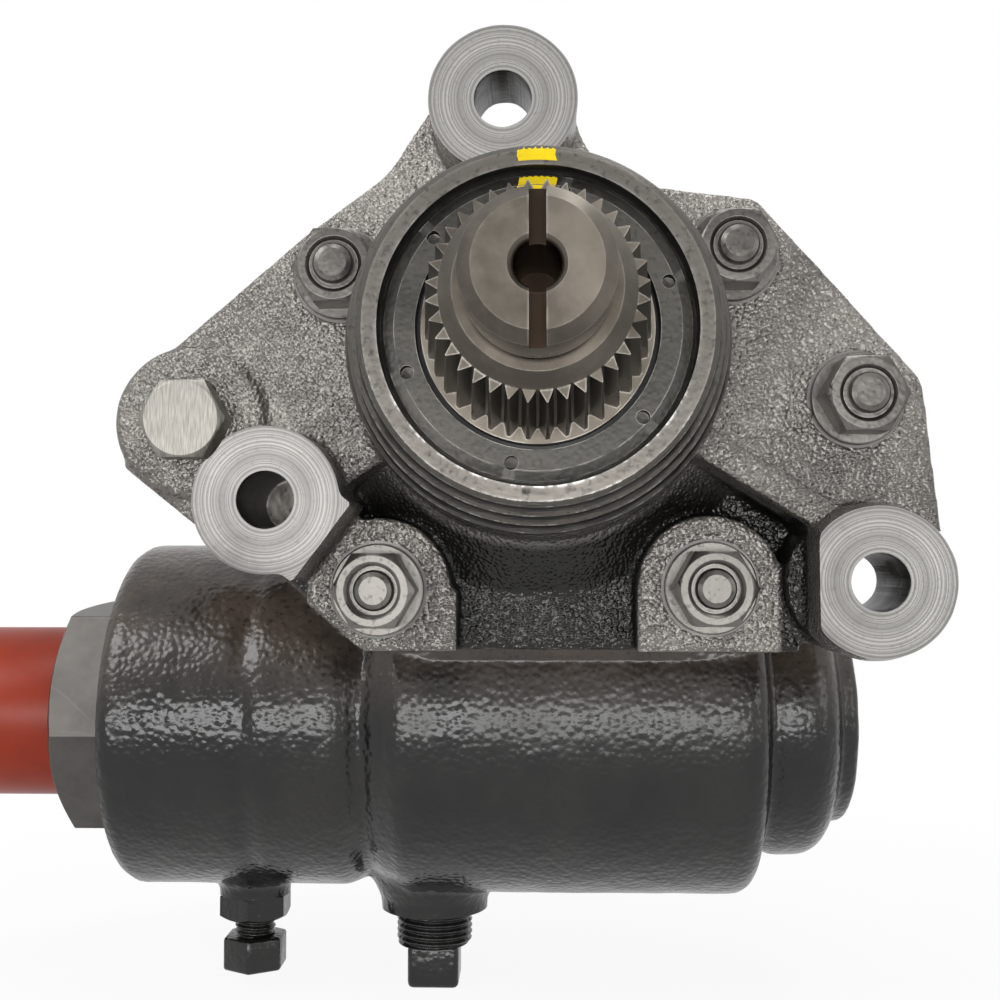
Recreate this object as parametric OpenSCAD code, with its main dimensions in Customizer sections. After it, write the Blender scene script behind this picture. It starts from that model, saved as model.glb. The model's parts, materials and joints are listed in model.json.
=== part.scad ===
// Integral recirculating-ball steering gear.
// X runs along the cylinder, Y along the output shaft from front to back, Z is up.
// The origin lies on the output shaft's axis, in the plane of the three mounting feet.

/* [Mounting feet] */
// Diameter of the bolt hole in each foot
foot_bore_d = 13.5; // [11:0.5:15]
// Diameter of a foot's machined face
foot_d = 35; // [32:0.5:37]
// Height of the feet above the cover's flange face
foot_h = 20; // [16:0.5:24]
// Top foot, across from the shaft
top_foot_x = -8.2; // [-11:0.1:-5]
// Top foot, up from the shaft
top_foot_z = 58.7; // [57:0.1:62]
// Left foot, across from the shaft
left_foot_x = -64; // [-66:0.1:-62]
// Left foot, up from the shaft
left_foot_z = -36.4; // [-39:0.1:-35]
// Right foot, across from the shaft
right_foot_x = 79; // [77.5:0.1:82]
// Right foot, up from the shaft
right_foot_z = -55.6; // [-58:0.1:-54]
// Thickness of the top foot
top_foot_t = 22; // [21:0.5:26]
// Thickness of the right foot
right_foot_t = 30; // [26:0.5:38]

/* [Front cover] */
// Thickness of the flange
flange_t = 20; // [17:0.5:24]
// Height of the boss in front of the feet
boss_h = 25; // [22:0.5:28]
// Diameter of the boss at its front edge
boss_d = 78.6; // [77:0.1:81]
// Diameter of the seal pocket in the boss
pocket_d = 69.6; // [69:0.1:71]
// Depth of the seal pocket
pocket_l = 15; // [14:0.5:17]
// Thickness of the joint gasket
gasket_t = 0.8; // [0.5:0.1:1.5]

/* [Cover fasteners] */
// Thread diameter of the studs and of the bolt
stud_d = 12; // [10:0.5:13]
// Size of the nuts across their flats
nut_af = 18; // [17:0.5:20]
// Height of a nut
nut_h = 10; // [8:0.5:11]
// Diameter of a washer
washer_d = 23; // [21.5:0.5:25]
// Thickness of a washer
washer_t = 2.5; // [1.5:0.1:3]
// Size of the bolt head across its flats
bolt_af = 19; // [18:0.5:21]
// Height of the bolt head
bolt_head_h = 8; // [6:0.5:10]
// Length of thread in the housing's lugs
thread_l = 18; // [15:0.5:20]

/* [Output shaft] */
// Diameter of the front journal
journal_d = 51; // [50.2:0.1:51.8]
// Diameter of the rear journal
rear_journal_d = 44; // [41:0.5:45]
// Number of serration teeth
serration_teeth = 36; // [30:1:40]
// Diameter of the serration at its front end
serration_front_d = 42.4; // [41:0.1:44]
// Diameter of the serration at its back end
serration_back_d = 49.2; // [47:0.1:50]
// Length of the serration
serration_l = 36.6; // [30:0.2:40]
// Depth of the serration teeth
serration_depth = 2.4; // [1.8:0.1:2.8]
// Diameter of the nose
nose_d = 28; // [25:0.5:31]
// Length of the nose in front of the serration
nose_l = 22.4; // [20:0.2:26]
// Diameter of the tapped hole in the nose
nose_hole_d = 8.5; // [6.8:0.1:10.2]
// Depth of that hole
nose_hole_l = 26; // [18:1:36]
// Width of the slot across the nose
nose_slot_w = 3; // [2:0.2:5]
// Depth of the slot
nose_slot_l = 4.5; // [3:0.5:8]

/* [Sector and rack] */
// Distance from the output shaft to the cylinder's axis
centre_distance = 96; // [95:0.1:97.5]
// Pitch radius of the sector
sector_pitch_r = 60.5; // [59.5:0.1:61.5]
// Teeth that a full circle would have
circle_teeth = 20; // [20:1:22]
// Width of the sector
sector_w = 30; // [26:0.5:34]
// Pressure angle of the teeth
pressure_angle = 25; // [22:0.5:27]
// Play between sector and rack teeth
backlash = 0.3; // [0.2:0.05:0.5]
// Travel of the rack piston to each side
rack_travel = 28.5; // [26:0.5:28.5]

/* [Worm] */
// Advance of the rack piston for one turn of the worm
worm_lead = 16; // [14:0.5:18]
// Diameter of the balls
ball_d = 7; // [6:0.1:7.4]
// Diameter of the circle on which the balls run
ball_circle_d = 28.4; // [28:0.1:30]

/* [Cylinder] */
// Distance of the cylinder's axis behind the feet
cylinder_y = 88; // [87:0.5:92]
// Bore of the cylinder
bore_d = 85; // [84:0.5:86]
// Diameter of the barrel
barrel_d = 104; // [102:0.5:106]
// Right end of the barrel
barrel_end_x = 61; // [61:0.5:66]
// Diameter of the collar at the input end
collar_d = 100; // [99:0.5:102]
// Left end of the collar
collar_x = -117.5; // [-120:0.5:-116]
// Groove between collar and barrel
groove_x = -48; // [-52:0.5:-45]
// Diameter of the dome at the closed end
dome_d = 82; // [78:0.5:88]
// Overall reach of the closed end
dome_end_x = 88.5; // [87:0.5:94]
// Thickness of the wall round the sector chamber
chamber_wall = 8; // [6:0.5:10]

/* [Input end] */
// Size of the end plug across its flats
plug_af = 62; // [60:0.5:64]
// Length of the end plug's hexagon
plug_hex_l = 18.8; // [18:0.2:26]
// Diameter of the end plug's threaded body
plug_body_d = 54; // [53:0.5:58]
// Diameter of the end cover's thread
end_cover_d = 88; // [86:0.5:90]
// Thickness of the end cover
end_cover_t = 21.5; // [20.5:0.5:22.5]
// Thickness of the sealing ring under the hexagon
seal_ring_t = 1.2; // [0.8:0.1:2]
// Diameter of the input shaft
input_d = 24; // [22:0.5:25]
// Reach of the input shaft beyond the end plug
input_l = 24; // [20:1:36]
// Outer diameter of the protective cap
cap_d = 50; // [49:0.5:54]
// Length of the protective cap
cap_l = 54; // [50:1:75]
// Wall of the protective cap
cap_wall = 3; // [2:0.2:3.4]

/* [Fittings below] */
// Limiter screw, along the cylinder
limit_x = -85; // [-88:0.5:-80]
// Lower face of its boss, below the cylinder's axis
limit_boss_drop = 54.2; // [53:0.2:58]
// Thread diameter of the limiter screw
limit_d = 12; // [8:0.5:12]
// Square-head plug, along the cylinder
drain_x = -31; // [-34:0.5:-20]
// Lower face of its boss, below the cylinder's axis
drain_boss_drop = 57.6; // [56:0.2:62]
// Thread diameter of the plug
drain_d = 22.4; // [18:0.2:24]
// Side of the plug's square head
drain_square = 15; // [12:0.5:15.5]
// Thread bore of the two hose ports at the back
port_d = 16; // [12:0.5:18]

/* [Hidden] */
$fn = 96;

// Clearances: a seat in one body, a running fit, and free air between moving pieces
seat_gap = 0.05;
run_gap = 0.06;
free_gap = 0.4;

// Planes along the output shaft
flange_y = foot_h;
joint_y = flange_y + flange_t;
housing_y = joint_y + gasket_t;
boss_y = -boss_h;
sector_y0 = cylinder_y - sector_w / 2;
sector_y1 = cylinder_y + sector_w / 2;
chamber_y1 = sector_y1 + 2;
lug_y1 = housing_y + thread_l + 3;

// Fasteners of the cover: four corners, two lower pads and the bolt, as [x, z]
studs = [[-49.6, 21.4], [48.4, 25.4], [79, -10.6], [-39.8, -57.9], [42.6, -57.4]];
bolt = [-87.2, -15.9];
// How far each stud's end stands out of its nut
stud_reach = [2, 2, 2, -1.4, -0.6];
bolt_pad_h = 2;
spot_face = 0.5;
seat_y = flange_y + spot_face;
bolt_boss_r = 19.3;
pad_r = 18;
cover_bottom_z = -73.3;
feet = [[top_foot_x, top_foot_z], [left_foot_x, left_foot_z], [right_foot_x, right_foot_z]];

// Cylinder
cylinder_z = -centre_distance;
bore_r = bore_d / 2;
barrel_r = barrel_d / 2;
collar_r = collar_d / 2;
dome_r = dome_d / 2;
bore_x1 = barrel_end_x - 2;
end_cover_x = collar_x + end_cover_t;

// Sector and rack teeth
module_mm = 2 * sector_pitch_r / circle_teeth;
addendum = 0.8 * module_mm;
dedendum = 0.95 * module_mm;
base_r = sector_pitch_r * cos(pressure_angle);
sector_tip_r = sector_pitch_r + addendum;
sector_root_r = sector_pitch_r - dedendum;
tooth_step = 360 / circle_teeth;
tooth_pitch = PI * module_mm;
sector_half_angle = 1.5 * tooth_step;
swing = rack_travel / sector_pitch_r * 180 / PI;
chamber_r = sector_tip_r + 2;
chamber_half_angle = swing + sector_half_angle + 3;
rack_pitch_z = centre_distance - sector_pitch_r;
rack_tip_z = rack_pitch_z + addendum;

// Rack piston, with its middle space under the output shaft
piston_r = bore_r - 0.15;
piston_x1 = bore_x1 - rack_travel - 0.5;
piston_x0 = end_cover_x + rack_travel + 1;
piston_wall = 6;

// Ball track
ball_r = ball_d / 2;
track_r = ball_circle_d / 2;
groove_r = ball_r + 0.55;
worm_r = track_r - 1;
piston_bore_r = track_r + 0.8;
track_x0 = piston_x0 + 5;
track_x1 = piston_x1 - piston_wall - 2 * rack_travel;
worm_x0 = end_cover_x + 3;
worm_x1 = track_x1 + rack_travel - 0.5;

// Input end
plug_x1 = collar_x - seal_ring_t;
plug_x0 = plug_x1 - plug_hex_l;
plug_nose_l = 7;
plug_nose_r = cap_d / 2 - cap_wall - 0.3;
plug_nose_x = plug_x0 - plug_nose_l;
bearing_r = plug_body_d / 2 - 3;
bearing_w = 11;
bearing_x1 = end_cover_x - 2;
bearing_x0 = bearing_x1 - bearing_w;
bearing_h = 11;
worm_journal_r = bearing_r - bearing_h;
bearing_track_r = (bearing_r + worm_journal_r) / 2;
bearing_ball_r = 2.6;
valve_bore_r = 19.6;
valve_x0 = plug_x0 + 8;
spigot_l = 3;
spool_r = worm_journal_r - 0.05;
seal_h = 5;
input_r = input_d / 2;
input_x0 = plug_nose_x - input_l;
bar_r = 4;

// Bearings of the output shaft
journal_r = journal_d / 2;
roller_r = 2.5;
shell_t = 2.4;
front_shell_r = journal_r + 2 * run_gap + 2 * roller_r + shell_t;
pocket_y = boss_y + pocket_l;
front_bearing_y0 = pocket_y + 2;
front_bearing_y1 = joint_y - 8;
rear_journal_r = rear_journal_d / 2;
rear_shell_r = rear_journal_r + 2 * run_gap + 2 * roller_r + shell_t;
rear_bearing_y0 = chamber_y1 + 2;
rear_bearing_y1 = rear_bearing_y0 + 18;
shaft_end_y = rear_bearing_y1 + 2.5;
rear_wall_y = shaft_end_y + 1;
rear_face_y = rear_wall_y + 7.5;
rear_boss_r = rear_shell_r + 8;

// Adjuster behind the shaft
adjuster_r = 6;
adjuster_head_r = 9;
adjuster_head_y = shaft_end_y - 9.5;
adjuster_head_l = 4;
adjuster_nut_h = 8;
adjuster_bore_r = adjuster_head_r + 0.6;

// Places a plan drawn in X and Z between two depths
module along_y(y0, y1) {
  translate([0, y1, 0]) rotate([90, 0, 0]) linear_extrude(height = y1 - y0) children();
}

// Round bar along Y at the point p = [x, z]
module ybar(p, r, y0, y1) {
  translate([p[0], y0, p[1]]) rotate([-90, 0, 0]) cylinder(r = r, h = y1 - y0);
}

// Cone along Y at the point p
module ycone(p, r0, r1, y0, y1) {
  translate([p[0], y0, p[1]]) rotate([-90, 0, 0]) cylinder(r1 = r0, r2 = r1, h = y1 - y0);
}

// Turned shape round the output shaft, from [radius, y] points
module yturn(points) {
  rotate([-90, 0, 0]) rotate_extrude() polygon(points);
}

// Frame of the cylinder's axis, with local Z along X
module on_cylinder() {
  translate([0, cylinder_y, cylinder_z]) rotate([0, 90, 0]) children();
}

// Round bar along the cylinder's axis
module xbar(r, x0, x1) {
  on_cylinder() translate([0, 0, x0]) cylinder(r = r, h = x1 - x0);
}

// Tube along the cylinder's axis
module xtube(r0, r1, x0, x1) {
  difference() {
    xbar(r1, x0, x1);
    xbar(r0, x0 - 1, x1 + 1);
  }
}

// Turned shape round the cylinder's axis, from [radius, x] points
module xturn(points) {
  on_cylinder() rotate_extrude() polygon(points);
}

// Vertical bar under the cylinder, between two drops below its axis
module drop_bar(x, r, drop0, drop1) {
  translate([x, cylinder_y, cylinder_z - drop1]) cylinder(r = r, h = drop1 - drop0);
}

// Arc from angle a0 to a1 as points
function arc(c, r, a0, a1, n) =
  [for (i = [0:n]) let (a = a0 + (a1 - a0) * i / n) c + r * [cos(a), sin(a)]];

function unit(v) = v / norm(v);
function point(v) = [v[0], v[1]];
function turn(a) = a > 180 ? a - 360 : a < -180 ? a + 360 : a;

// One corner of an outline, rounded to its radius q[2]
function corner(p, q, s, n) =
  let (u = unit(point(p) - point(q)), w = unit(point(s) - point(q)))
  let (half = acos(u * w) / 2, c = point(q) + unit(u + w) * q[2] / sin(half))
  let (t0 = point(q) + u * q[2] / tan(half) - c, t1 = point(q) + w * q[2] / tan(half) - c)
  let (a0 = atan2(t0[1], t0[0]), da = turn(atan2(t1[1], t1[0]) - a0))
  q[2] == 0 ? [point(q)] : arc(c, q[2], a0, a0 + da, n);

// Outline with every corner [x, z, radius] rounded
function rounded(v, n = 8) =
  [for (i = [0:len(v) - 1]) each corner(v[(i + len(v) - 1) % len(v)], v[i], v[(i + 1) % len(v)], n)];

// Point at radius r and at angle t from straight down
function down(r, t) = r * [sin(t), -cos(t)];

// Half angle of a sector tooth at radius r
function involute(a) = tan(a) * 180 / PI - a;
function tooth_half(r) =
  90 / circle_teeth - backlash / 4 / sector_pitch_r * 180 / PI
  + involute(pressure_angle) - involute(acos(min(1, base_r / r)));

// Flank of a sector tooth centred at angle c, on the side that the sign gives
flank_steps = 6;
function flank(c, side) =
  [for (i = [0:flank_steps])
    let (k = side < 0 ? i : flank_steps - i, r = sector_root_r + (sector_tip_r - sector_root_r) * k / flank_steps)
    down(r, c + side * tooth_half(r))];

// Outline of the joint between cover and housing
module joint_outline() {
  polygon(rounded([
    [studs[3][0] - 6, cover_bottom_z, 6], [studs[4][0] + 17, cover_bottom_z, 8],
    [studs[2][0] + 16, studs[2][1] - 12, 10], [studs[2][0] + 17, studs[2][1] - 2, 10],
    [studs[1][0] + 10, studs[1][1] + 13, 6], [24, 42, 10], [-26, 42, 10],
    [studs[0][0] - 9, studs[0][1] + 11, 12], [bolt[0] - 12, bolt[1] + 16, 8],
    [bolt[0] - 15, bolt[1] - 12, 12], [left_foot_x - 16, left_foot_z - 9, 8]
  ]));
}

// Plan of the space in which the sector swings
module chamber_plan(r, hub_r) {
  polygon(concat(arc([0, 0], r, 270 - chamber_half_angle, 270 + chamber_half_angle, 24),
    arc([0, 0], hub_r, -5, 185, 24)));
}

// Opening through the joint, with lugs left for the lower studs
module joint_opening() {
  difference() {
    chamber_plan(chamber_r, journal_r + 9);
    for (s = [studs[3], studs[4]]) translate(s) circle(r = stud_d / 2 + 3);
  }
}

// Hex prism along Y with its outer corners chamfered
module yhex(p, af, y0, y1) {
  intersection() {
    translate([p[0], y0, p[1]]) rotate([-90, 0, 0]) cylinder(d = af / cos(30), h = y1 - y0, $fn = 6);
    union() {
      ycone(p, af / 2 - 0.4, af / 2 + 1.9, y0, y0 + 1.3);
      ybar(p, af / 2 + 1.9, y0 + 1.3, y1);
    }
  }
}

module main_housing() {
  collar_round = 3;
  round_r = 6;
  crease_x = groove_x - 31;
  groove_depth = 4;
  end_boss_r = dome_r - 9.5;
  end_boss_x = dome_end_x - 6;
  joint_w = 300;
  color("dimgray") difference() {
    union() {
      // Collar, groove, barrel and domed end, behind the joint face above the cover's lower edge
      difference() {
        xturn(concat([[0, collar_x]],
          arc([collar_r - collar_round, collar_x + collar_round], collar_round, -90, 0, 4),
          [[collar_r, crease_x - 4], [collar_r - 1, crease_x], [collar_r, crease_x + 4]],
          [[collar_r, groove_x - 7], [collar_r - 1.5, groove_x - 3], [collar_r - groove_depth, groove_x - 1]],
          [[collar_r - groove_depth, groove_x + 1], [collar_r - 1.5, groove_x + 4]],
          arc([barrel_r - round_r, groove_x + 12], round_r, -45, 0, 3),
          arc([barrel_r - round_r, barrel_end_x - round_r], round_r, 0, 90, 5),
          [[dome_r - 2, barrel_end_x + 1], [dome_r, barrel_end_x + 6]],
          arc([dome_r - 9, end_boss_x - 9], 9, 0, 80, 5),
          [[end_boss_r, end_boss_x + 0.5], [end_boss_r, dome_end_x - 1.5]],
          [[end_boss_r - 1.5, dome_end_x], [0, dome_end_x]]));
        along_y(cylinder_y - barrel_d, housing_y)
          translate([-joint_w / 2, cover_bottom_z - 0.6]) square([joint_w, joint_w]);
      }
      // Neck and flange
      along_y(housing_y, housing_y + 17) joint_outline();
      along_y(housing_y, chamber_y1 + chamber_wall)
        chamber_plan(chamber_r + chamber_wall, journal_r + 9 + chamber_wall);
      ybar([0, 0], rear_boss_r, chamber_y1, rear_face_y);
      // Bosses below and at the back
      on_drop_boss(limit_x, limit_d / 2 + 4.5, bore_r + 1.2, limit_boss_drop, 8);
      on_drop_boss(drain_x, drain_d / 2 + 4.6, bore_r + 1.2, drain_boss_drop, 5);
      for (p = ports) ybar(p, port_d / 2 + 5, cylinder_y + bore_r + 1, port_y);
    }
    // Cylinder bore, dome space and mouth for the end cover
    xbar(bore_r, end_cover_x, bore_x1);
    xbar(dome_r - 9, bore_x1 - 1, dome_end_x - 9);
    xbar(end_cover_d / 2 + seat_gap, collar_x - 1, end_cover_x + seat_gap);
    // Sector chamber, open to the cylinder and to the cover
    along_y(housing_y - 1, lug_y1) joint_opening();
    along_y(lug_y1 - 1, chamber_y1) chamber_plan(chamber_r, journal_r + 9);
    ybar([0, 0], rear_shell_r + seat_gap, chamber_y1 - 1, rear_bearing_y1 + seat_gap);
    ybar([0, 0], rear_shell_r - shell_t, rear_bearing_y1, rear_wall_y);
    ybar([0, 0], adjuster_r + seat_gap, rear_wall_y - 1, rear_face_y + 1);
    // Tapped holes
    for (p = concat(studs, [bolt])) ybar(p, stud_d / 2 + seat_gap, housing_y - 1, housing_y + thread_l);
    drop_bar(limit_x, limit_d / 2 + seat_gap, bore_r - 2, limit_boss_drop + 1);
    drop_bar(drain_x, drain_d / 2 + seat_gap, bore_r + 3, drain_boss_drop + 1);
    for (p = ports) ybar(p, port_d / 2, port_floor_y, port_y + 1);
    for (p = ports) ybar(p, port_passage_r, cylinder_y + bore_r - 4, port_floor_y + 1);
  }
}

// Boss that hangs from the cylinder and widens towards it
module on_drop_boss(x, r, drop0, drop1, flare) {
  drop_bar(x, r, drop0, drop1);
  translate([x, cylinder_y, cylinder_z - drop1 + 3])
    cylinder(r1 = r, r2 = r + flare, h = drop1 - drop0 - 3);
}

// Hose ports, as [x, z]
ports = [[-88, cylinder_z], [-60, cylinder_z]];
port_y = cylinder_y + collar_r + 6;
port_floor_y = cylinder_y + bore_r + 2.5;
port_passage_r = 3.5;

// Rough outline of the upper flange, in front of the housing
module flange_outline() {
  polygon(rounded([
    [right_foot_x + 20.5, right_foot_z + 12, 0], [studs[2][0] + 16.4, studs[2][1] + 4.6, 10],
    [studs[1][0] + 6.4, studs[1][1] + 14.6, 6], [top_foot_x + 17.4, top_foot_z - 12.7, 22],
    [top_foot_x + 17.4, top_foot_z + 8, 0], [top_foot_x - 17, top_foot_z + 8, 0],
    [top_foot_x - 29.8, top_foot_z - 11.7, 22], [studs[0][0] - 8.5, studs[0][1] + 10.8, 18],
    [bolt[0] - 11.5, bolt[1] + 13.2, 0], [bolt[0] - 17.3, bolt[1] - 11.1, 0],
    [left_foot_x - 20.8, left_foot_z - 6.5, 0], [left_foot_x, left_foot_z, 0], [0, 0, 0],
    [right_foot_x - 8, right_foot_z + 12, 0]
  ]));
  translate(bolt) circle(r = bolt_boss_r);
}

// Lower skirt of the cover, down to the straight edge above the cylinder
module skirt_outline() {
  polygon(rounded([
    [left_foot_x - 15, left_foot_z - 6, 0], [left_foot_x + 2, left_foot_z - 21.5, 0],
    [studs[3][0] - 4, cover_bottom_z, 4], [studs[4][0] + 22, cover_bottom_z, 4],
    [right_foot_x - 6, right_foot_z - 15, 0], [right_foot_x, right_foot_z, 0],
    [right_foot_x - 20, right_foot_z + 20.6, 0], [0, 0, 0]
  ]));
}

// Pad of a lower stud, rounded above and cut by the cover's lower edge
module stud_pad(s, reach0, reach1) {
  intersection() {
    union() {
      translate(s) circle(r = pad_r);
      translate([s[0] - reach0, cover_bottom_z]) square([reach0 + reach1, s[1] - cover_bottom_z]);
    }
    skirt_outline();
  }
}

// Straight rib between two points, of width w
module rib(p, q, w) {
  n = unit([p[1] - q[1], q[0] - p[0]]) * w / 2;
  polygon([p + n, q + n, q - n, p - n]);
}

module front_cover() {
  left_flat = 16.7;
  left_flat_w = 23;
  left_flat_turn = -37;
  right_cut = 13.9;
  boss_r = boss_d / 2;
  relief_z = top_foot_z - 12;
  color("gray") difference() {
    union() {
      along_y(flange_y, joint_y) flange_outline();
      along_y(joint_y - 8, joint_y) skirt_outline();
      // Belly that slopes from the boss to the lower edge
      intersection() {
        along_y(0, joint_y) skirt_outline();
        ycone([0, 0], boss_d / 2 + 5, -cover_bottom_z - 8, flange_y, joint_y - 3);
      }
      along_y(flange_y, joint_y) stud_pad(studs[3], 18, pad_r + 1.5);
      along_y(flange_y, joint_y) stud_pad(studs[4], pad_r, 22);
      ybar(bolt, bolt_boss_r - 0.6, flange_y - bolt_pad_h, joint_y);
      // Boss with turned steps
      yturn([[0, boss_y], [boss_r - 1.2, boss_y], [boss_r, boss_y + 1.2], [boss_r, boss_y + 5],
        [boss_r + 1.8, boss_y + 6.5], [boss_r + 1.8, boss_y + 11], [boss_r + 3.6, boss_y + 12.5],
        [boss_r + 3.6, boss_y + 18], [boss_r + 5.2, boss_y + 19.5], [boss_r + 5.2, flange_y / 4],
        [boss_r + 6.2, flange_y / 2], [boss_r + 6.2, joint_y], [0, joint_y]]);
      // Ribs to the feet
      along_y(foot_h * 0.4, joint_y) rib([30, -16.2], feet[2] + [-6, 13], 7.5);
      along_y(foot_h * 0.6, joint_y) rib([-30, -16], feet[1] + [10, 5], 9);
      // Feet
      ybar(feet[0], foot_d / 2 + 0.3, 0, top_foot_t);
      intersection() {
        union() {
          ybar(feet[1], foot_d / 2, 0, joint_y);
          along_y(0, joint_y) translate(feet[1]) rotate(left_flat_turn)
            translate([0, -left_flat_w / 2]) square([foot_d, left_flat_w]);
        }
        along_y(-1, joint_y + 1) translate(feet[1]) rotate(left_flat_turn)
          translate([left_flat - 100, -50]) square([100, 100]);
      }
      difference() {
        union() {
          ybar(feet[2], foot_d / 2, 0, right_foot_t);
          ycone(feet[2], foot_d / 2, foot_d / 2 + 1.2, 0, 6);
          ybar(feet[2], foot_d / 2 + 1.2, 6, right_foot_t);
        }
        translate([right_foot_x - right_cut - 20, -1, right_foot_z - 40]) cube([20, flange_y - 4, 80]);
      }
    }
    // Room for a spanner on the bolt beside the left foot
    ybar(bolt, bolt_af / 2 + 5, -1, flange_y - bolt_pad_h);
    // Back of the top foot, clear of the flange behind it
    along_y(top_foot_t, joint_y + 1) translate([top_foot_x - foot_d, relief_z]) square([2 * foot_d, foot_d + 10]);
    // Bolt holes of the feet, with chamfers
    ybar(feet[0], foot_bore_d / 2, -1, joint_y + 1);
    ybar(feet[1], foot_bore_d / 2, -1, joint_y - 7);
    ybar(feet[2], foot_bore_d / 2, -1, right_foot_t + 1);
    for (p = feet) ycone(p, foot_bore_d / 2 + 0.7, foot_bore_d / 2, -0.01, 0.7);
    // Spot faces and holes for studs and bolt
    for (p = studs) ybar(p, washer_d / 2 + 0.7, seat_y - washer_t - nut_h - 4, seat_y);
    for (p = concat(studs, [bolt])) ybar(p, stud_d / 2 + 0.5, flange_y - 6, joint_y + 1);
    // Seal pocket and bearing bore
    ybar([0, 0], pocket_d / 2, boss_y - 1, pocket_y);
    ycone([0, 0], pocket_d / 2 + 1, pocket_d / 2, boss_y - 0.01, boss_y + 1);
    ybar([0, 0], front_shell_r + seat_gap, pocket_y - 1, front_bearing_y1 + seat_gap);
    ybar([0, 0], front_shell_r - shell_t, front_bearing_y1, joint_y + 1);
  }
}

module cover_gasket() {
  color("black") along_y(joint_y, housing_y) difference() {
    joint_outline();
    joint_opening();
    for (p = concat(studs, [bolt])) translate(p) circle(r = stud_d / 2 + 0.5);
  }
}

module cover_studs() {
  point_r = stud_d / 2 - 1;
  point_l = 2.6;
  color("darkgray") for (i = [0:len(studs) - 1]) {
    p = studs[i];
    tip_y = seat_y - washer_t - nut_h - stud_reach[i];
    ycone(p, point_r - 1.6, point_r - 0.5, tip_y, tip_y + 0.5);
    ycone(p, point_r - 0.5, point_r, tip_y + 0.5, tip_y + 1.4);
    ybar(p, point_r, tip_y + 1.4, tip_y + point_l);
    ybar(p, stud_d / 2, tip_y + point_l, housing_y + thread_l - 1);
  }
}

module cover_washers() {
  color("gray") for (p = studs) difference() {
    ybar(p, washer_d / 2, seat_y - washer_t, seat_y);
    ybar(p, stud_d / 2 + 0.3, seat_y - washer_t - 1, seat_y + 1);
  }
}

module cover_nuts() {
  y1 = seat_y - washer_t;
  color("gray") for (p = studs) difference() {
    yhex(p, nut_af, y1 - nut_h, y1);
    ybar(p, stud_d / 2 + seat_gap, y1 - nut_h - 1, y1 + 1);
    ycone(p, stud_d / 2 + 0.9, stud_d / 2, y1 - nut_h - 0.01, y1 - nut_h + 0.9);
  }
}

module cover_bolt() {
  y1 = flange_y - bolt_pad_h;
  color("silver") {
    yhex(bolt, bolt_af, y1 - bolt_head_h, y1);
    ybar(bolt, stud_d / 2, y1 - 1, housing_y + thread_l - 1);
  }
}

// Drawn-cup needle bearing: the shell
module needle_shell(r, y0, y1) {
  color("silver") difference() {
    ybar([0, 0], r, y0, y1);
    ybar([0, 0], r - shell_t, y0 - 1, y1 + 1);
  }
}

// Drawn-cup needle bearing: the rollers round a journal
module needle_rollers(r, y0, y1) {
  pitch_r = r + run_gap + roller_r;
  count = floor(180 / asin((roller_r + 0.15) / pitch_r));
  color("silver") for (i = [0:count - 1]) {
    a = 360 * i / count;
    ybar(pitch_r * [cos(a), sin(a)], roller_r, y0 + 1, y1 - 1);
  }
}

module front_bearing_shell() {
  needle_shell(front_shell_r, front_bearing_y0, front_bearing_y1);
}

module front_bearing_rollers() {
  needle_rollers(journal_r, front_bearing_y0, front_bearing_y1);
}

module rear_bearing_shell() {
  needle_shell(rear_shell_r, rear_bearing_y0, rear_bearing_y1);
}

module rear_bearing_rollers() {
  needle_rollers(rear_journal_r, rear_bearing_y0, rear_bearing_y1);
}

// Seal and retainer fill the pocket behind its front edge
retainer_y = boss_y + 3;
retainer_t = 5;

module output_seal() {
  y0 = retainer_y + retainer_t;
  color("black") yturn([[journal_r + run_gap, y0], [pocket_d / 2 - seat_gap, y0],
    [pocket_d / 2 - seat_gap, pocket_y], [journal_r + 3, pocket_y], [journal_r + 2, y0 + 3],
    [journal_r + run_gap, y0 + 2]]);
}

module seal_retainer() {
  y1 = retainer_y + retainer_t;
  r1 = pocket_d / 2 - seat_gap;
  color("darkslategray") difference() {
    yturn([[journal_r + 1.2, retainer_y], [r1 - 1.1, retainer_y], [r1 - 1.1, y1 - 2], [r1, y1 - 2],
      [r1, y1], [journal_r + 1.2, y1]]);
    for (i = [0:5]) {
      a = 19 + 60 * i;
      ybar((journal_r + 4.6) * [cos(a), sin(a)], 1.5, retainer_y - 1, retainer_y + 3);
    }
  }
}

module adjuster_screw() {
  adjuster_end_y = rear_face_y + adjuster_nut_h + 8;
  slot_w = 2;
  slot_depth = 3;
  color("silver") difference() {
    union() {
      ybar([0, 0], adjuster_head_r, adjuster_head_y, adjuster_head_y + adjuster_head_l);
      ybar([0, 0], adjuster_r, adjuster_head_y, adjuster_end_y);
    }
    translate([-slot_w / 2, adjuster_end_y - slot_depth, -adjuster_head_r])
      cube([slot_w, 2 * slot_depth, 2 * adjuster_head_r]);
  }
}

module adjuster_lock_nut() {
  color("gray") difference() {
    yhex([0, 0], 19, rear_face_y, rear_face_y + adjuster_nut_h);
    ybar([0, 0], adjuster_r + seat_gap, rear_face_y - 1, rear_face_y + adjuster_nut_h + 1);
  }
}

module adjuster_collar() {
  color("gray") difference() {
    ybar([0, 0], adjuster_bore_r - seat_gap, adjuster_head_y + adjuster_head_l + free_gap, shaft_end_y);
    ybar([0, 0], adjuster_r + free_gap, adjuster_head_y, shaft_end_y + 1);
  }
}

// Plan of the three sector teeth with the web that carries them
module sector_plan() {
  polygon(concat(
    [for (c = [-tooth_step, 0, tooth_step]) each concat(flank(c, -1), flank(c, 1))],
    [down(journal_r, 75), down(journal_r, -75)]));
}

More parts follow.
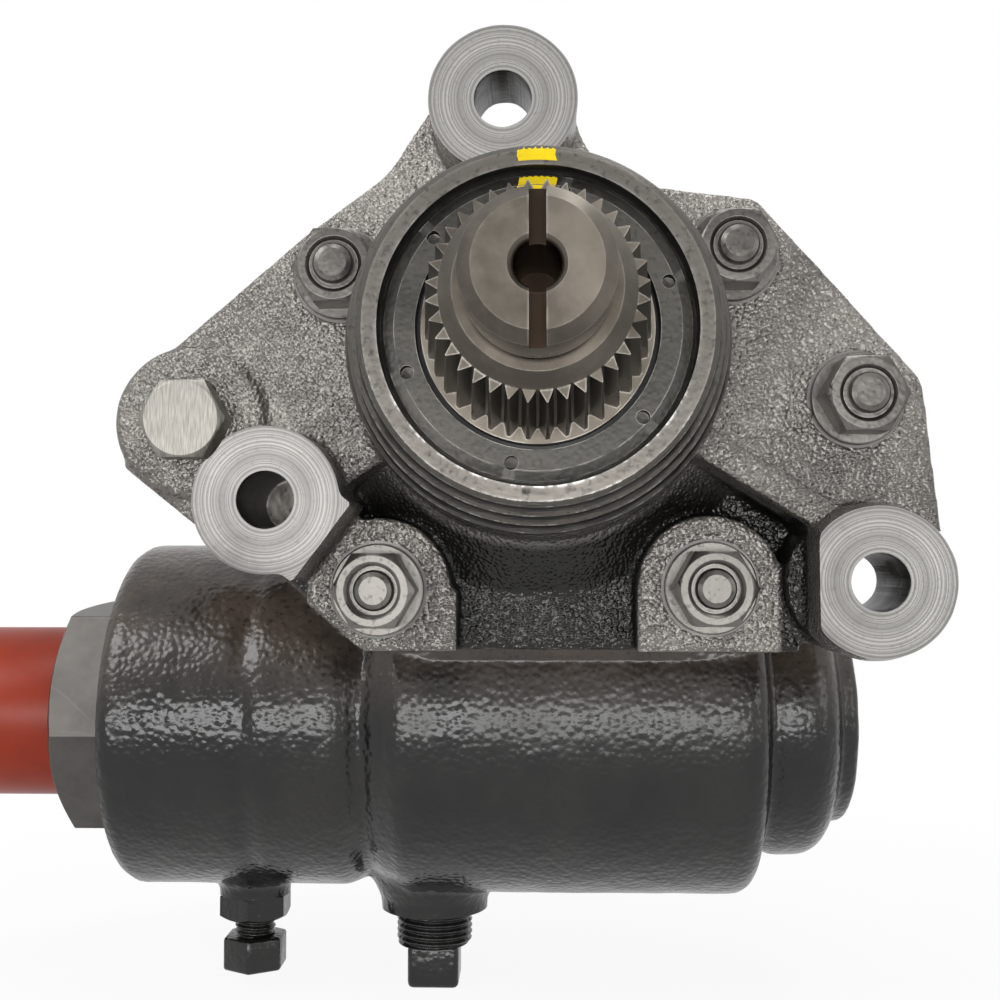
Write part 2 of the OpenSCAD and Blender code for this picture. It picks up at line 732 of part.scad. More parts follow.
// Tapered serration: a cone with a groove milled between each pair of teeth
module serration(y0) {
  r0 = serration_front_d / 2;
  r1 = serration_back_d / 2;
  half = PI * r1 / serration_teeth;
  difference() {
    ycone([0, 0], r0, r1, y0, y0 + serration_l);
    for (i = [0:serration_teeth - 1]) rotate([0, 360 * i / serration_teeth, 0])
      translate([0, y0, r0 - serration_depth]) rotate([atan((r1 - r0) / serration_l), 0, 0])
        along_y(-3, serration_l + 3)
          polygon([[-0.3, 0], [0.3, 0], [half, serration_depth + 0.6], [-half, serration_depth + 0.6]]);
  }
}

module sector_shaft() {
  serration_y1 = boss_y + 3;
  serration_y0 = serration_y1 - serration_l;
  nose_y = serration_y0 - nose_l;
  nose_r = nose_d / 2;
  cone_r = serration_front_d / 2 - serration_depth;
  color("slategray") difference() {
    union() {
      yturn([[0, nose_y], [nose_r - 2.4, nose_y], [nose_r, nose_y + 2.4], [nose_r, serration_y0 - 7.5],
        [nose_r - 1.4, serration_y0 - 6.5], [nose_r - 1.4, serration_y0 - 5], [nose_r + 2, serration_y0 - 5],
        [cone_r, serration_y0 - 1.5], [cone_r, serration_y0 + 1], [0, serration_y0 + 1]]);
      serration(serration_y0);
      ybar([0, 0], journal_r, serration_y1, sector_y1);
      along_y(sector_y0, sector_y1) sector_plan();
      ybar([0, 0], rear_journal_r, sector_y1 - 1, shaft_end_y);
    }
    ybar([0, 0], nose_hole_d / 2, nose_y - 1, nose_y + nose_hole_l);
    ycone([0, 0], nose_hole_d / 2 + 1, nose_hole_d / 2, nose_y - 0.01, nose_y + 1);
    translate([-nose_slot_w / 2, nose_y - 1, -nose_d]) cube([nose_slot_w, nose_slot_l + 1, 2 * nose_d]);
    ybar([0, 0], adjuster_bore_r, adjuster_head_y - 0.6, shaft_end_y + 1);
  }
}

// Space between two rack teeth, cut from above
module rack_space(x) {
  slope = tan(pressure_angle);
  half = tooth_pitch / 4 + backlash / 4;
  top = piston_r + 1 - rack_pitch_z;
  along_y(cylinder_y - bore_r, cylinder_y + bore_r) translate([x, cylinder_z + rack_pitch_z])
    polygon([[-half + dedendum * slope, -dedendum], [half - dedendum * slope, -dedendum],
      [half + top * slope, top], [-half - top * slope, top]]);
}

// Ball track as a screw: the section follows the round groove along one lead
screw_points = 24;
screw_steps = 14;
module track_screw(x0, x1, section) {
  turns = (x1 - x0) / worm_lead;
  on_cylinder() translate([0, 0, x0]) rotate([0, 0, 360 * (x0 - worm_x0) / worm_lead])
    linear_extrude(height = x1 - x0, twist = -360 * turns, slices = ceil(turns * screw_steps),
      segments = screw_points) polygon(section);
}

// Depth of the round groove at the distance s along the axis
function groove(s) = abs(s) < groove_r ? sqrt(groove_r * groove_r - s * s) : 0;
function along(i) = worm_lead * ((i + screw_points / 2) % screw_points - screw_points / 2) / screw_points;
function spoke(i) = [cos(360 * i / screw_points), sin(360 * i / screw_points)];
worm_section = [for (i = [0:screw_points - 1]) spoke(i) * min(worm_r, track_r - groove(along(i)))];
nut_section = [for (i = [0:screw_points - 1]) spoke(i) * max(piston_bore_r - 0.3, track_r + groove(along(i)))];

ring_w = 5;
ring_x = piston_x0 + 6;
ring_depth = 3.5;
return_w = 14;
return_drop = track_r + ball_r + 2;

module rack_piston() {
  color("silver") difference() {
    xbar(piston_r, piston_x0, piston_x1);
    // Flat crest and rack spaces
    translate([track_x1, cylinder_y - bore_r, cylinder_z + rack_tip_z]) cube([100, bore_d, bore_r]);
    for (i = [-1:1]) rack_space(i * tooth_pitch);
    // Bore with ball track, ring groove and seat of the ball return
    xbar(piston_bore_r, piston_x0 - 1, piston_x1 - piston_wall);
    track_screw(track_x0, track_x1, nut_section);
    difference() {
      xbar(bore_r, ring_x, ring_x + ring_w);
      xbar(piston_r - ring_depth, ring_x - 1, ring_x + ring_w + 1);
    }
    translate([ring_x + ring_w + 3, cylinder_y - return_w / 2, cylinder_z - bore_r])
      cube([track_x1 - ring_x - ring_w - 6, return_w, bore_r - return_drop]);
  }
}

module piston_ring() {
  color("white") xtube(piston_r - ring_depth + seat_gap, bore_r - run_gap, ring_x + 0.1, ring_x + ring_w - 0.1);
}

module track_balls() {
  step = 2 * asin((ball_r + 0.15) / track_r) * worm_lead / 360;
  color("silver") on_cylinder() for (x = [track_x0 + ball_r:step:track_x1 - ball_r]) {
    a = 360 * (x - worm_x0) / worm_lead;
    translate([track_r * cos(a), track_r * sin(a), x]) sphere(r = ball_r);
  }
}

module ball_return() {
  x0 = ring_x + ring_w + 3;
  x1 = track_x1 - 3;
  color("gray") difference() {
    translate([x0 + 0.1, cylinder_y - return_w / 2 + 0.1, cylinder_z - piston_r + 8])
      cube([x1 - x0 - 0.2, return_w - 0.2, piston_r - 8 - return_drop]);
    translate([x0 - 1, cylinder_y, cylinder_z - return_drop]) rotate([0, 90, 0])
      cylinder(r = ball_r + 0.2, h = x1 - x0 + 2);
  }
}

module worm_shaft() {
  color("silver") difference() {
    union() {
      track_screw(worm_x0, worm_x1, worm_section);
      xbar(worm_journal_r + 4, bearing_x1 + 0.1, end_cover_x + free_gap);
      xbar(worm_r, bearing_x1, worm_x0 + 0.5);
      xbar(worm_journal_r, bearing_x0 - spigot_l, bearing_x1 + 1);
    }
    xbar(bar_r + 0.3, bearing_x0 - spigot_l - 1, bearing_x1);
  }
}

module bearing_groove() {
  on_cylinder() translate([0, 0, (bearing_x0 + bearing_x1) / 2]) rotate_extrude()
    translate([bearing_track_r, 0]) circle(r = bearing_ball_r + run_gap);
}

module worm_bearing_outer() {
  color("silver") difference() {
    xtube(bearing_track_r + 1.9, bearing_r - seat_gap, bearing_x0, bearing_x1);
    bearing_groove();
  }
}

module worm_bearing_inner() {
  color("silver") difference() {
    xtube(worm_journal_r + seat_gap, bearing_track_r - 1.9, bearing_x0, bearing_x1);
    bearing_groove();
  }
}

module worm_bearing_balls() {
  count = 14;
  color("silver") on_cylinder() for (i = [0:count - 1])
    rotate([0, 0, 360 * i / count]) translate([bearing_track_r, 0, (bearing_x0 + bearing_x1) / 2])
      sphere(r = bearing_ball_r);
}

module valve_sleeve() {
  color("silver") xtube(worm_journal_r + seat_gap + 0.05, valve_bore_r - run_gap, valve_x0 + 1, bearing_x0 - 0.5);
}

module input_shaft() {
  spool_x0 = valve_x0 + 0.3;
  spool_x1 = bearing_x0 - spigot_l - 0.5;
  teeth = 30;
  color("silver") difference() {
    union() {
      xbar(spool_r, spool_x0, spool_x1);
      xbar(input_r, plug_nose_x - 4, spool_x0 + 0.2);
      on_cylinder() translate([0, 0, input_x0]) linear_extrude(height = input_l - 3)
        polygon([for (i = [0:2 * teeth - 1])
          (input_r - (i % 2 == 0 ? 0.6 : 1.8)) * [cos(180 * i / teeth), sin(180 * i / teeth)]]);
    }
    xbar(bar_r + 0.2, input_x0 - 1, spool_x1 + 1);
    drop_pin(torsion_pin_r + seat_gap, input_r + 1);
  }
}

torsion_pin_r = 1.5;
torsion_pin_x = plug_nose_x - 2;

// Cross pin of the torsion bar
module drop_pin(r, half) {
  translate([torsion_pin_x, cylinder_y, cylinder_z - half]) cylinder(r = r, h = 2 * half);
}

module torsion_bar() {
  color("silver") difference() {
    xbar(bar_r, input_x0 + 4, bearing_x1 - 1);
    drop_pin(torsion_pin_r + seat_gap, bar_r + 1);
  }
}

module torsion_pin() {
  color("gray") drop_pin(torsion_pin_r, input_r - 0.5);
}

module end_cover() {
  color("dimgray") xtube(plug_body_d / 2 + seat_gap, end_cover_d / 2, collar_x, end_cover_x);
}

module end_plug() {
  color("gray") difference() {
    union() {
      intersection() {
        on_cylinder() translate([0, 0, plug_x0]) rotate([0, 0, 35])
          cylinder(d = plug_af / cos(30), h = plug_hex_l, $fn = 6);
        xturn([[0, plug_x0], [plug_af / 2 - 0.8, plug_x0], [plug_af / 2 + 5, plug_x0 + 2.8],
          [plug_af / 2 + 5, plug_x1], [0, plug_x1]]);
      }
      xbar(plug_body_d / 2, plug_x1 - 1, end_cover_x - 1);
      xbar(plug_nose_r, plug_nose_x, plug_x0 + 1);
    }
    xbar(bearing_r, bearing_x0 - seat_gap, end_cover_x);
    xbar(valve_bore_r, valve_x0, bearing_x0);
    xbar(input_r + seal_h, plug_nose_x - 1, valve_x0 + 1);
  }
}

module end_plug_ring() {
  color("black") xtube(plug_body_d / 2 + 0.3, plug_af / 2 + 3.5, plug_x1, collar_x);
}

module input_seal() {
  color("black") xtube(input_r + run_gap, input_r + seal_h - seat_gap, plug_nose_x + 1, valve_x0 - 1);
}

module input_cap() {
  x1 = plug_x0 - 0.3;
  color("orangered") difference() {
    xbar(cap_d / 2, x1 - cap_l, x1);
    xbar(cap_d / 2 - cap_wall, x1 - cap_l + cap_wall, x1 + 1);
  }
}

// Hexagon under the cylinder with a corner to the front and a chamfered lower edge
module drop_hex(x, af, drop0, drop1) {
  intersection() {
    translate([x, cylinder_y, cylinder_z - drop1]) rotate([0, 0, 30])
      cylinder(d = af / cos(30), h = drop1 - drop0, $fn = 6);
    union() {
      translate([x, cylinder_y, cylinder_z - drop1]) cylinder(r1 = af / 2 - 0.5, r2 = af / 2 + 2, h = 1.5);
      drop_bar(x, af / 2 + 2, drop0, drop1 - 1.5);
    }
  }
}

limit_nut_h = 6.8;

module limit_screw() {
  head_af = limit_d + 5;
  head_h = 0.8 * limit_d;
  head_drop = limit_boss_drop + limit_nut_h + 5.4;
  color("dimgray") {
    drop_bar(limit_x, limit_d / 2, bore_r + 1.5, head_drop + 1);
    drop_hex(limit_x, head_af, head_drop, head_drop + head_h);
  }
}

module limit_lock_nut() {
  color("dimgray") difference() {
    drop_hex(limit_x, limit_d + 7, limit_boss_drop, limit_boss_drop + limit_nut_h);
    drop_bar(limit_x, limit_d / 2 + seat_gap, limit_boss_drop - 1, limit_boss_drop + limit_nut_h + 1);
  }
}

module pipe_plug() {
  thread_drop = drain_boss_drop + 10.4;
  half = drain_square / 2;
  head_h = 12;
  color("dimgray") {
    drop_bar(drain_x, drain_d / 2, bore_r + 4, thread_drop);
    translate([drain_x, cylinder_y, cylinder_z - thread_drop - head_h]) linear_extrude(height = head_h + 1)
      polygon(rounded([[half, half, 1.5], [-half, half, 1.5], [-half, -half, 1.5], [half, -half, 1.5]], 4));
  }
}

main_housing();
front_cover();
cover_gasket();
cover_studs();
cover_washers();
cover_nuts();
cover_bolt();
front_bearing_shell();
front_bearing_rollers();
output_seal();
seal_retainer();
rear_bearing_shell();
rear_bearing_rollers();
adjuster_screw();
adjuster_lock_nut();
end_cover();
end_plug();
end_plug_ring();
input_seal();
worm_bearing_outer();
worm_bearing_balls();
limit_screw();
limit_lock_nut();
pipe_plug();
sector_shaft();
adjuster_collar();
rack_piston();
piston_ring();
track_balls();
ball_return();
worm_shaft();
worm_bearing_inner();
valve_sleeve();
input_shaft();
torsion_bar();
torsion_pin();
input_cap();
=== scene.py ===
# Looks of a recirculating-ball steering gear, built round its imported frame
import json
import math
import bpy
import numpy as np
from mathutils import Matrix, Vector


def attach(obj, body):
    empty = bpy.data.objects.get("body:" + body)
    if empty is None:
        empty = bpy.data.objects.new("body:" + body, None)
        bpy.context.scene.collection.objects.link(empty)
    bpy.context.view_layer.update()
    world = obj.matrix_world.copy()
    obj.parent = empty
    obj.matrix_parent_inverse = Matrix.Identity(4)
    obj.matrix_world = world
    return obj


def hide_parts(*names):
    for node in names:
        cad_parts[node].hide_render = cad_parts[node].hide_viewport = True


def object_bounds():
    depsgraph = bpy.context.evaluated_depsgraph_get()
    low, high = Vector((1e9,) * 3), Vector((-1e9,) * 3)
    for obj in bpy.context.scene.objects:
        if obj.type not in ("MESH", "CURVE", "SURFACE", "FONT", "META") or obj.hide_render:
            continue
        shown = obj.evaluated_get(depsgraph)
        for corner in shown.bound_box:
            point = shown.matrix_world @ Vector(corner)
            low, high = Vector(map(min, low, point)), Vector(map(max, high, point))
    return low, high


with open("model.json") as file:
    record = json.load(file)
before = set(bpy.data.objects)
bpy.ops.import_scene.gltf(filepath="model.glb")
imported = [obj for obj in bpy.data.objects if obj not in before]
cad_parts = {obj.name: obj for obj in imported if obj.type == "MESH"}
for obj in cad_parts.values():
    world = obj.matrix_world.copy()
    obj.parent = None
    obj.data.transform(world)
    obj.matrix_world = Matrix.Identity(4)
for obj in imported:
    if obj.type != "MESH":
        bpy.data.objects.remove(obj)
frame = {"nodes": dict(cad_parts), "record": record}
cad_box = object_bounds()
mm = 0.001

# View
# The camera stands in front of the output shaft, a little below it, turned slightly to the
# input end and tipped up, with the moderate wide angle of a phone held close.
view = bpy.data.cameras.new("view")
view.sensor_width = 36
view.lens = 45
camera = bpy.data.objects.new("view", view)
camera.location = (0, -291 * mm, -50.5 * mm)
camera.rotation_euler = (math.radians(92.75), 0, math.radians(1.74))
bpy.context.scene.collection.objects.link(camera)
bpy.context.scene.camera = camera
bpy.context.scene.view_settings.view_transform = "Standard"


# Studio
# A pale floor runs back under the gear, and the room round it is white. Soft boxes light it: a
# large one high at the front left, one above, a weak one at the right, and a low long strip in
# front that draws a line of light along the cylinder.
def place(tree, kind, inputs=None, **settings):
    """Adds a shader node, with its settings and with values or links for its inputs."""
    made = tree.nodes.new("ShaderNode" + kind)
    for key, value in settings.items():
        setattr(made, key, value)
    for key, value in (inputs or {}).items():
        if isinstance(value, bpy.types.NodeSocket):
            tree.links.new(value, made.inputs[key])
        else:
            made.inputs[key].default_value = value
    return made


def seen_rays(tree):
    """1 for what the eye, a mirror or a glass sees directly, 0 for light that only falls on things."""
    path = place(tree, "LightPath")
    mirror = place(tree, "Math", {0: path.outputs["Is Camera Ray"], 1: path.outputs["Is Glossy Ray"]},
                   operation="MAXIMUM")
    return place(tree, "Math", {0: mirror.outputs[0], 1: path.outputs["Is Transmission Ray"]},
                 operation="MAXIMUM").outputs[0]


room_light = 0.16
world = bpy.data.worlds.new("room")
bpy.context.scene.world = world
world.use_nodes = True
room = world.node_tree
room.nodes.clear()
strength = place(room, "MapRange", {"Value": seen_rays(room), "To Min": room_light, "To Max": 1.0})
backdrop = place(room, "Background", {"Color": (1, 1, 1, 1), "Strength": strength.outputs[0]})
room.links.new(backdrop.outputs[0], room.nodes.new("ShaderNodeOutputWorld").inputs[0])

floor_half = 3.0
floor_z = cad_box[0][2] - 0.5 * mm
corners = [(-floor_half, -floor_half), (floor_half, -floor_half),
           (floor_half, floor_half), (-floor_half, floor_half)]
floor_mesh = bpy.data.meshes.new("floor")
floor_mesh.from_pydata([(x, y, floor_z) for x, y in corners], [], [(0, 1, 2, 3)])
floor = bpy.data.objects.new("floor", floor_mesh)
bpy.context.scene.collection.objects.link(floor)
floor_paint = bpy.data.materials.new("floor")
floor_paint.use_nodes = True
tree = floor_paint.node_tree
tree.nodes.clear()
matt = place(tree, "BsdfDiffuse", {"Color": (0.9, 0.9, 0.9, 1)})
white = place(tree, "Emission", {"Color": (1, 1, 1, 1), "Strength": 1.0})
away = place(tree, "VectorMath", {0: place(tree, "TexCoord").outputs["Object"]}, operation="LENGTH")
bright = place(tree, "MapRange", {"Value": away.outputs["Value"], "From Min": 0.15, "From Max": 0.5,
                                  "To Min": 0.92, "To Max": 1.0}, interpolation_type="SMOOTHSTEP")
share = place(tree, "Math", {0: seen_rays(tree), 1: bright.outputs[0]}, operation="MULTIPLY")
mixed = place(tree, "MixShader", {0: share.outputs[0], 1: matt.outputs[0], 2: white.outputs[0]})
tree.links.new(mixed.outputs[0], tree.nodes.new("ShaderNodeOutputMaterial").inputs[0])
floor_mesh.materials.append(floor_paint)


def soft_box(name, place_at, aim, width, height, power):
    """Adds a rectangular soft light that points at aim."""
    lamp = bpy.data.lights.new(name, "AREA")
    lamp.shape = "RECTANGLE"
    lamp.size = width
    lamp.size_y = height
    lamp.energy = power
    box = bpy.data.objects.new(name, lamp)
    box.location = place_at
    box.rotation_euler = (Vector(aim) - Vector(place_at)).to_track_quat("-Z", "Y").to_euler()
    bpy.context.scene.collection.objects.link(box)


gear_middle = (0, 0.03, -0.05)
soft_box("key_box", (-0.7, -0.6, 0.7), gear_middle, 0.5, 0.5, 5.5)
soft_box("top_box", (0.15, -0.15, 0.9), gear_middle, 0.9, 0.3, 5)
soft_box("fill_box", (0.9, -0.6, 0.15), gear_middle, 0.2, 0.6, 1.2)
soft_box("front_strip", (-0.1, -1.0, -0.08), (-0.03, 0, -0.1), 1.0, 0.24, 6.5)


# Main housing
# An iron casting: the cylinder with its collar and domed end, the neck behind the cover and the
# rear boss. It is sand cast, rumbled and painted black, and its joint faces and mouths are cut.
def link(name, mesh):
    """Puts a mesh in the scene as an object."""
    made = bpy.data.objects.new(name, mesh)
    bpy.context.scene.collection.objects.link(made)
    return made


def settle(obj):
    """Makes what the modifiers give the object's own mesh."""
    mesh = bpy.data.meshes.new_from_object(obj.evaluated_get(bpy.context.evaluated_depsgraph_get()))
    obj.modifiers.clear()
    obj.data = mesh


def rough_casting(name, node, voxel, rounds, waviness, stock):
    """Casts a node: its sharp solid with soft edges and an uneven skin, and stock on the cut faces."""
    mesh = frame["nodes"][node].data.copy()
    mesh.materials.clear()
    co = np.empty(len(mesh.vertices) * 3)
    mesh.vertices.foreach_get("co", co)
    co = co.reshape(-1, 3)
    for axis, level, extra in stock:
        co[np.abs(co[:, axis] - level) < 0.02 * mm, axis] += extra
    mesh.vertices.foreach_set("co", co.ravel())
    cast = link(name, mesh)
    cast.modifiers.new("weld", "WELD").merge_threshold = 0.01 * mm
    remesh = cast.modifiers.new("sand", "REMESH")
    remesh.mode = "VOXEL"
    remesh.voxel_size = voxel
    soften = cast.modifiers.new("soften", "SMOOTH")
    soften.factor = 0.5
    soften.iterations = rounds
    clouds = bpy.data.textures.new(name + "_waves", "CLOUDS")
    clouds.noise_scale = 9 * mm
    wave = cast.modifiers.new("waves", "DISPLACE")
    wave.texture = clouds
    wave.texture_coords = "LOCAL"
    wave.strength = waviness
    wave.mid_level = 0.5
    settle(cast)
    return cast


def turned_mesh(name, profile, steps=128):
    """Closed mesh turned round Z from (radius, height) points that start and end on the axis."""
    ring = profile[1:-1]
    points = [(0, 0, profile[0][1]), (0, 0, profile[-1][1])]
    for i in range(steps):
        a = 2 * math.pi * i / steps
        points += [(r * math.cos(a), r * math.sin(a), z) for r, z in ring]
    n = len(ring)
    faces = []
    for i in range(steps):
        here = 2 + i * n
        there = 2 + (i + 1) % steps * n
        faces.append((0, there, here))
        faces += [(here + k, there + k, there + k + 1, here + k + 1) for k in range(n - 1)]
        faces.append((1, here + n - 1, there + n - 1))
    mesh = bpy.data.meshes.new(name)
    mesh.from_pydata(points, [], faces)
    return mesh


def bar(centre, axis, radius, start, end):
    """Round bar for a cut: along X, Y or Z through a centre, between two places on that axis."""
    made = link("cut", turned_mesh("cut", [(0, start), (radius, start), (radius, end), (0, end)]))
    if axis == "X":
        made.rotation_euler = (0, math.pi / 2, 0)
        made.location = (0, centre[1], centre[2])
    elif axis == "Y":
        made.rotation_euler = (-math.pi / 2, 0, 0)
        made.location = (centre[0], 0, centre[2])
    else:
        made.location = (centre[0], centre[1], 0)
    return made


def slab(low, high):
    """Box for a cut, between two corners."""
    points = [(x, y, z) for x in (low[0], high[0]) for y in (low[1], high[1]) for z in (low[2], high[2])]
    faces = [(0, 1, 3, 2), (4, 6, 7, 5), (0, 4, 5, 1), (2, 3, 7, 6), (0, 2, 6, 4), (1, 5, 7, 3)]
    mesh = bpy.data.meshes.new("cut")
    mesh.from_pydata(points, [], faces)
    return link("cut", mesh)


def machine(cast, cuts, added=()):
    """Cuts tools out of a casting, after adding what is turned in one piece with it."""
    for tool in list(added) + list(cuts):
        step = cast.modifiers.new("step", "BOOLEAN")
        step.operation = "UNION" if tool in added else "DIFFERENCE"
        step.solver = "MANIFOLD"
        step.object = tool
    settle(cast)
    cast.data.materials.clear()
    cast.data.polygons.foreach_set("material_index", np.zeros(len(cast.data.polygons), np.int32))
    for tool in list(added) + list(cuts):
        bpy.data.objects.remove(tool)


def smooth_faces(obj, angle=32):
    """Shades a mesh smooth, with sharp edges above an angle in degrees."""
    obj.data.shade_smooth()
    obj.data.set_sharp_from_angle(angle=math.radians(angle))


cylinder = Vector((0, 88 * mm, -96 * mm))
collar_end = -117.5 * mm
joint_level = 40.8 * mm
joint_bottom = -73.9 * mm
rear_level = 136 * mm
port_level = 144 * mm
limit_x = -85 * mm
limit_level = -150.2 * mm
drain_x = -31 * mm
drain_level = -153.6 * mm
mouth_radius = 44.05 * mm
bore_radius = 42.5 * mm
bore_start = collar_end + 21.5 * mm
bore_end = 59 * mm
limit_hole = 6.05 * mm
drain_hole = 11.25 * mm
adjuster_hole = 6.05 * mm
stock = 3 * mm
housing = rough_casting("housing_casting", "main_housing", 1.2 * mm, 6, 0.3 * mm, [
    (0, collar_end, -stock), (1, joint_level, -stock), (1, rear_level, stock), (1, port_level, stock),
    (2, limit_level, -stock), (2, drain_level, -stock)])
reach = 200 * mm
cuts = [
    slab((-reach, -reach, -reach), (collar_end, reach, reach)),
    slab((-reach, -reach, joint_bottom), (reach, joint_level, reach)),
    slab((-reach, port_level, -reach), (reach, reach, reach)),
    bar((0, 0, 0), "Y", 60 * mm, rear_level, rear_level + 20 * mm),
    slab((-reach, 0, -reach), (limit_x + 26 * mm, reach, limit_level)),
    slab((limit_x + 27 * mm, 0, -reach), (reach, reach, drain_level)),
    bar(cylinder, "X", mouth_radius, collar_end - 5 * mm, bore_start),
    bar(cylinder, "X", bore_radius, bore_start - 0.5 * mm, bore_end),
    bar((limit_x, cylinder.y, 0), "Z", limit_hole, limit_level - 10 * mm, limit_level + 10 * mm),
    bar((drain_x, cylinder.y, 0), "Z", drain_hole, drain_level - 10 * mm, drain_level + 10 * mm),
    bar((0, 0, 0), "Y", adjuster_hole, rear_level - 10 * mm, rear_level + 10 * mm)]
machine(housing, cuts)
smooth_faces(housing)


def new_material(name):
    """Material with one Principled shader; gives the material, its tree and the shader."""
    made = bpy.data.materials.new(name)
    made.use_nodes = True
    made.node_tree.nodes.clear()
    shader = place(made.node_tree, "BsdfPrincipled")
    made.node_tree.links.new(shader.outputs[0], place(made.node_tree, "OutputMaterial").inputs[0])
    return made, made.node_tree, shader


def new_group(name, inputs, outputs):
    """Shader node group with float inputs and the outputs that it lists; gives tree, input and output."""
    made = bpy.data.node_groups.new(name, "ShaderNodeTree")
    for label, value in inputs.items():
        socket = made.interface.new_socket(label, in_out="INPUT", socket_type="NodeSocketFloat")
        socket.default_value = value
    for label in outputs:
        made.interface.new_socket(label, in_out="OUTPUT", socket_type="NodeSocketFloat")
    return made, made.nodes.new("NodeGroupInput").outputs, made.nodes.new("NodeGroupOutput").inputs


def calc(tree, operation, a, b=0.0):
    """Result of one operation on one or two values."""
    return place(tree, "Math", {0: a, 1: b}, operation=operation).outputs[0]


def between(tree, value, low, high, to_low=0.0, to_high=1.0):
    """Turns the span from low to high of a value into another span, eased at both ends."""
    return place(tree, "MapRange", {"Value": value, "From Min": low, "From Max": high, "To Min": to_low,
                                    "To Max": to_high}, interpolation_type="SMOOTHSTEP").outputs[0]


def tint(tree, mask, low, high, share=1.0):
    """Colour that goes from low to high with a mask, or only a share of the way."""
    if share != 1.0:
        mask = calc(tree, "MULTIPLY", mask, share)
    mixer = place(tree, "Mix", data_type="RGBA")
    for socket, value in ((mixer.inputs[0], mask), (mixer.inputs[6], low), (mixer.inputs[7], high)):
        if isinstance(value, bpy.types.NodeSocket):
            tree.links.new(value, socket)
        elif isinstance(value, tuple):
            socket.default_value = (*value, 1)
        else:
            socket.default_value = value
    return mixer.outputs[2]


def use(tree, group, inputs):
    """Puts a node group in a tree, with values for its inputs; gives its outputs."""
    made = tree.nodes.new("ShaderNodeGroup")
    made.node_tree = group
    for key, value in inputs.items():
        made.inputs[key].default_value = value
    return made.outputs


def where(tree):
    """Place on the object, as X, Y and Z."""
    return place(tree, "SeparateXYZ", {0: place(tree, "TexCoord").outputs["Object"]}).outputs


def mottle(tree, skin, low, high, spread=0.15):
    """Colour that wanders between two tones with a skin's blotches."""
    return tint(tree, between(tree, skin["Blotch"], 0.5 - spread, 0.5 + spread), low, high)


def sheen(tree, skin, low, high):
    """Roughness that wanders between two values with a skin's blotches."""
    return between(tree, skin["Blotch"], 0.3, 0.7, low, high)


def finish_with(tree, shader, colour, rough, relief=None, metallic=0.0):
    """Gives a shader its colour, roughness and metal; relief is a height, its strength and its depth."""
    tree.links.new(colour, shader.inputs["Base Color"])
    if isinstance(rough, bpy.types.NodeSocket):
        tree.links.new(rough, shader.inputs["Roughness"])
    else:
        shader.inputs["Roughness"].default_value = rough
    if relief:
        height, strength, depth = relief
        bump = place(tree, "Bump", {"Height": height, "Strength": strength, "Distance": depth})
        tree.links.new(bump.outputs[0], shader.inputs["Normal"])
    shader.inputs["Metallic"].default_value = metallic


cast_skin, given, out = new_group("cast_skin", {"Pebble": 2 * mm}, ["Height", "Blotch", "Speck"])
spot = place(cast_skin, "TexCoord").outputs["Object"]
fine = calc(cast_skin, "DIVIDE", 1.0, given["Pebble"])
pebbles = place(cast_skin, "TexVoronoi", {"Vector": spot, "Scale": fine, "Smoothness": 0.6},
                feature="SMOOTH_F1")
lumps = place(cast_skin, "TexNoise", {"Vector": spot, "Scale": calc(cast_skin, "MULTIPLY", fine, 0.4),
                                      "Detail": 4.0})
blotch = place(cast_skin, "TexNoise", {"Vector": spot, "Scale": 26.0, "Detail": 6.0, "Roughness": 0.65})
speck = place(cast_skin, "TexNoise", {"Vector": spot, "Scale": calc(cast_skin, "MULTIPLY", fine, 1.1),
                                      "Detail": 4.0})
raised = calc(cast_skin, "MULTIPLY", lumps.outputs[0], 1.2)
raised = calc(cast_skin, "SUBTRACT", raised, pebbles.outputs["Distance"])
cast_skin.links.new(raised, out["Height"])
cast_skin.links.new(blotch.outputs[0], out["Blotch"])
cast_skin.links.new(between(cast_skin, speck.outputs[0], 0.54, 0.7), out["Speck"])

edge_wear, given, out = new_group("edge_wear", {"Width": 1 * mm}, ["Mask"])
rounded = place(edge_wear, "Bevel", {"Radius": given["Width"]}, samples=6)
flat_normal = place(edge_wear, "NewGeometry").outputs["Normal"]
facing = place(edge_wear, "VectorMath", {0: rounded.outputs[0], 1: flat_normal}, operation="DOT_PRODUCT")
spot = place(edge_wear, "TexCoord").outputs["Object"]
scuff = place(edge_wear, "TexNoise", {"Vector": spot, "Scale": 160.0, "Detail": 4.0})
worn = calc(edge_wear, "MULTIPLY", between(edge_wear, facing.outputs["Value"], 0.985, 0.8),
            between(edge_wear, scuff.outputs[0], 0.35, 0.6))
edge_wear.links.new(worn, out["Mask"])

housing_paint, tree, shader = new_material("housing_paint")
skin = use(tree, cast_skin, {"Pebble": 1.7 * mm})
dust = calc(tree, "MULTIPLY", between(tree, where(tree)["Z"], -100 * mm, -62 * mm),
            between(tree, skin["Blotch"], 0.25, 0.6))
colour = mottle(tree, skin, (0.005, 0.005, 0.005), (0.014, 0.013, 0.012))
colour = tint(tree, dust, colour, (0.075, 0.057, 0.045))
colour = tint(tree, skin["Speck"], colour, (0.008, 0.007, 0.006), 0.6)
finish_with(tree, shader, colour, sheen(tree, skin, 0.17, 0.29), (skin["Height"], 0.3, 0.6 * mm))
shader.inputs["IOR"].default_value = 1.45
housing.data.materials.append(housing_paint)
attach(housing, "housing")
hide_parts("main_housing")

# End cover
# An iron disc that closes the far end of the cylinder. It is turned to fit the bore, held there by
# its thread and painted with the housing.
frame["nodes"]["end_cover"].data.materials[0] = housing_paint


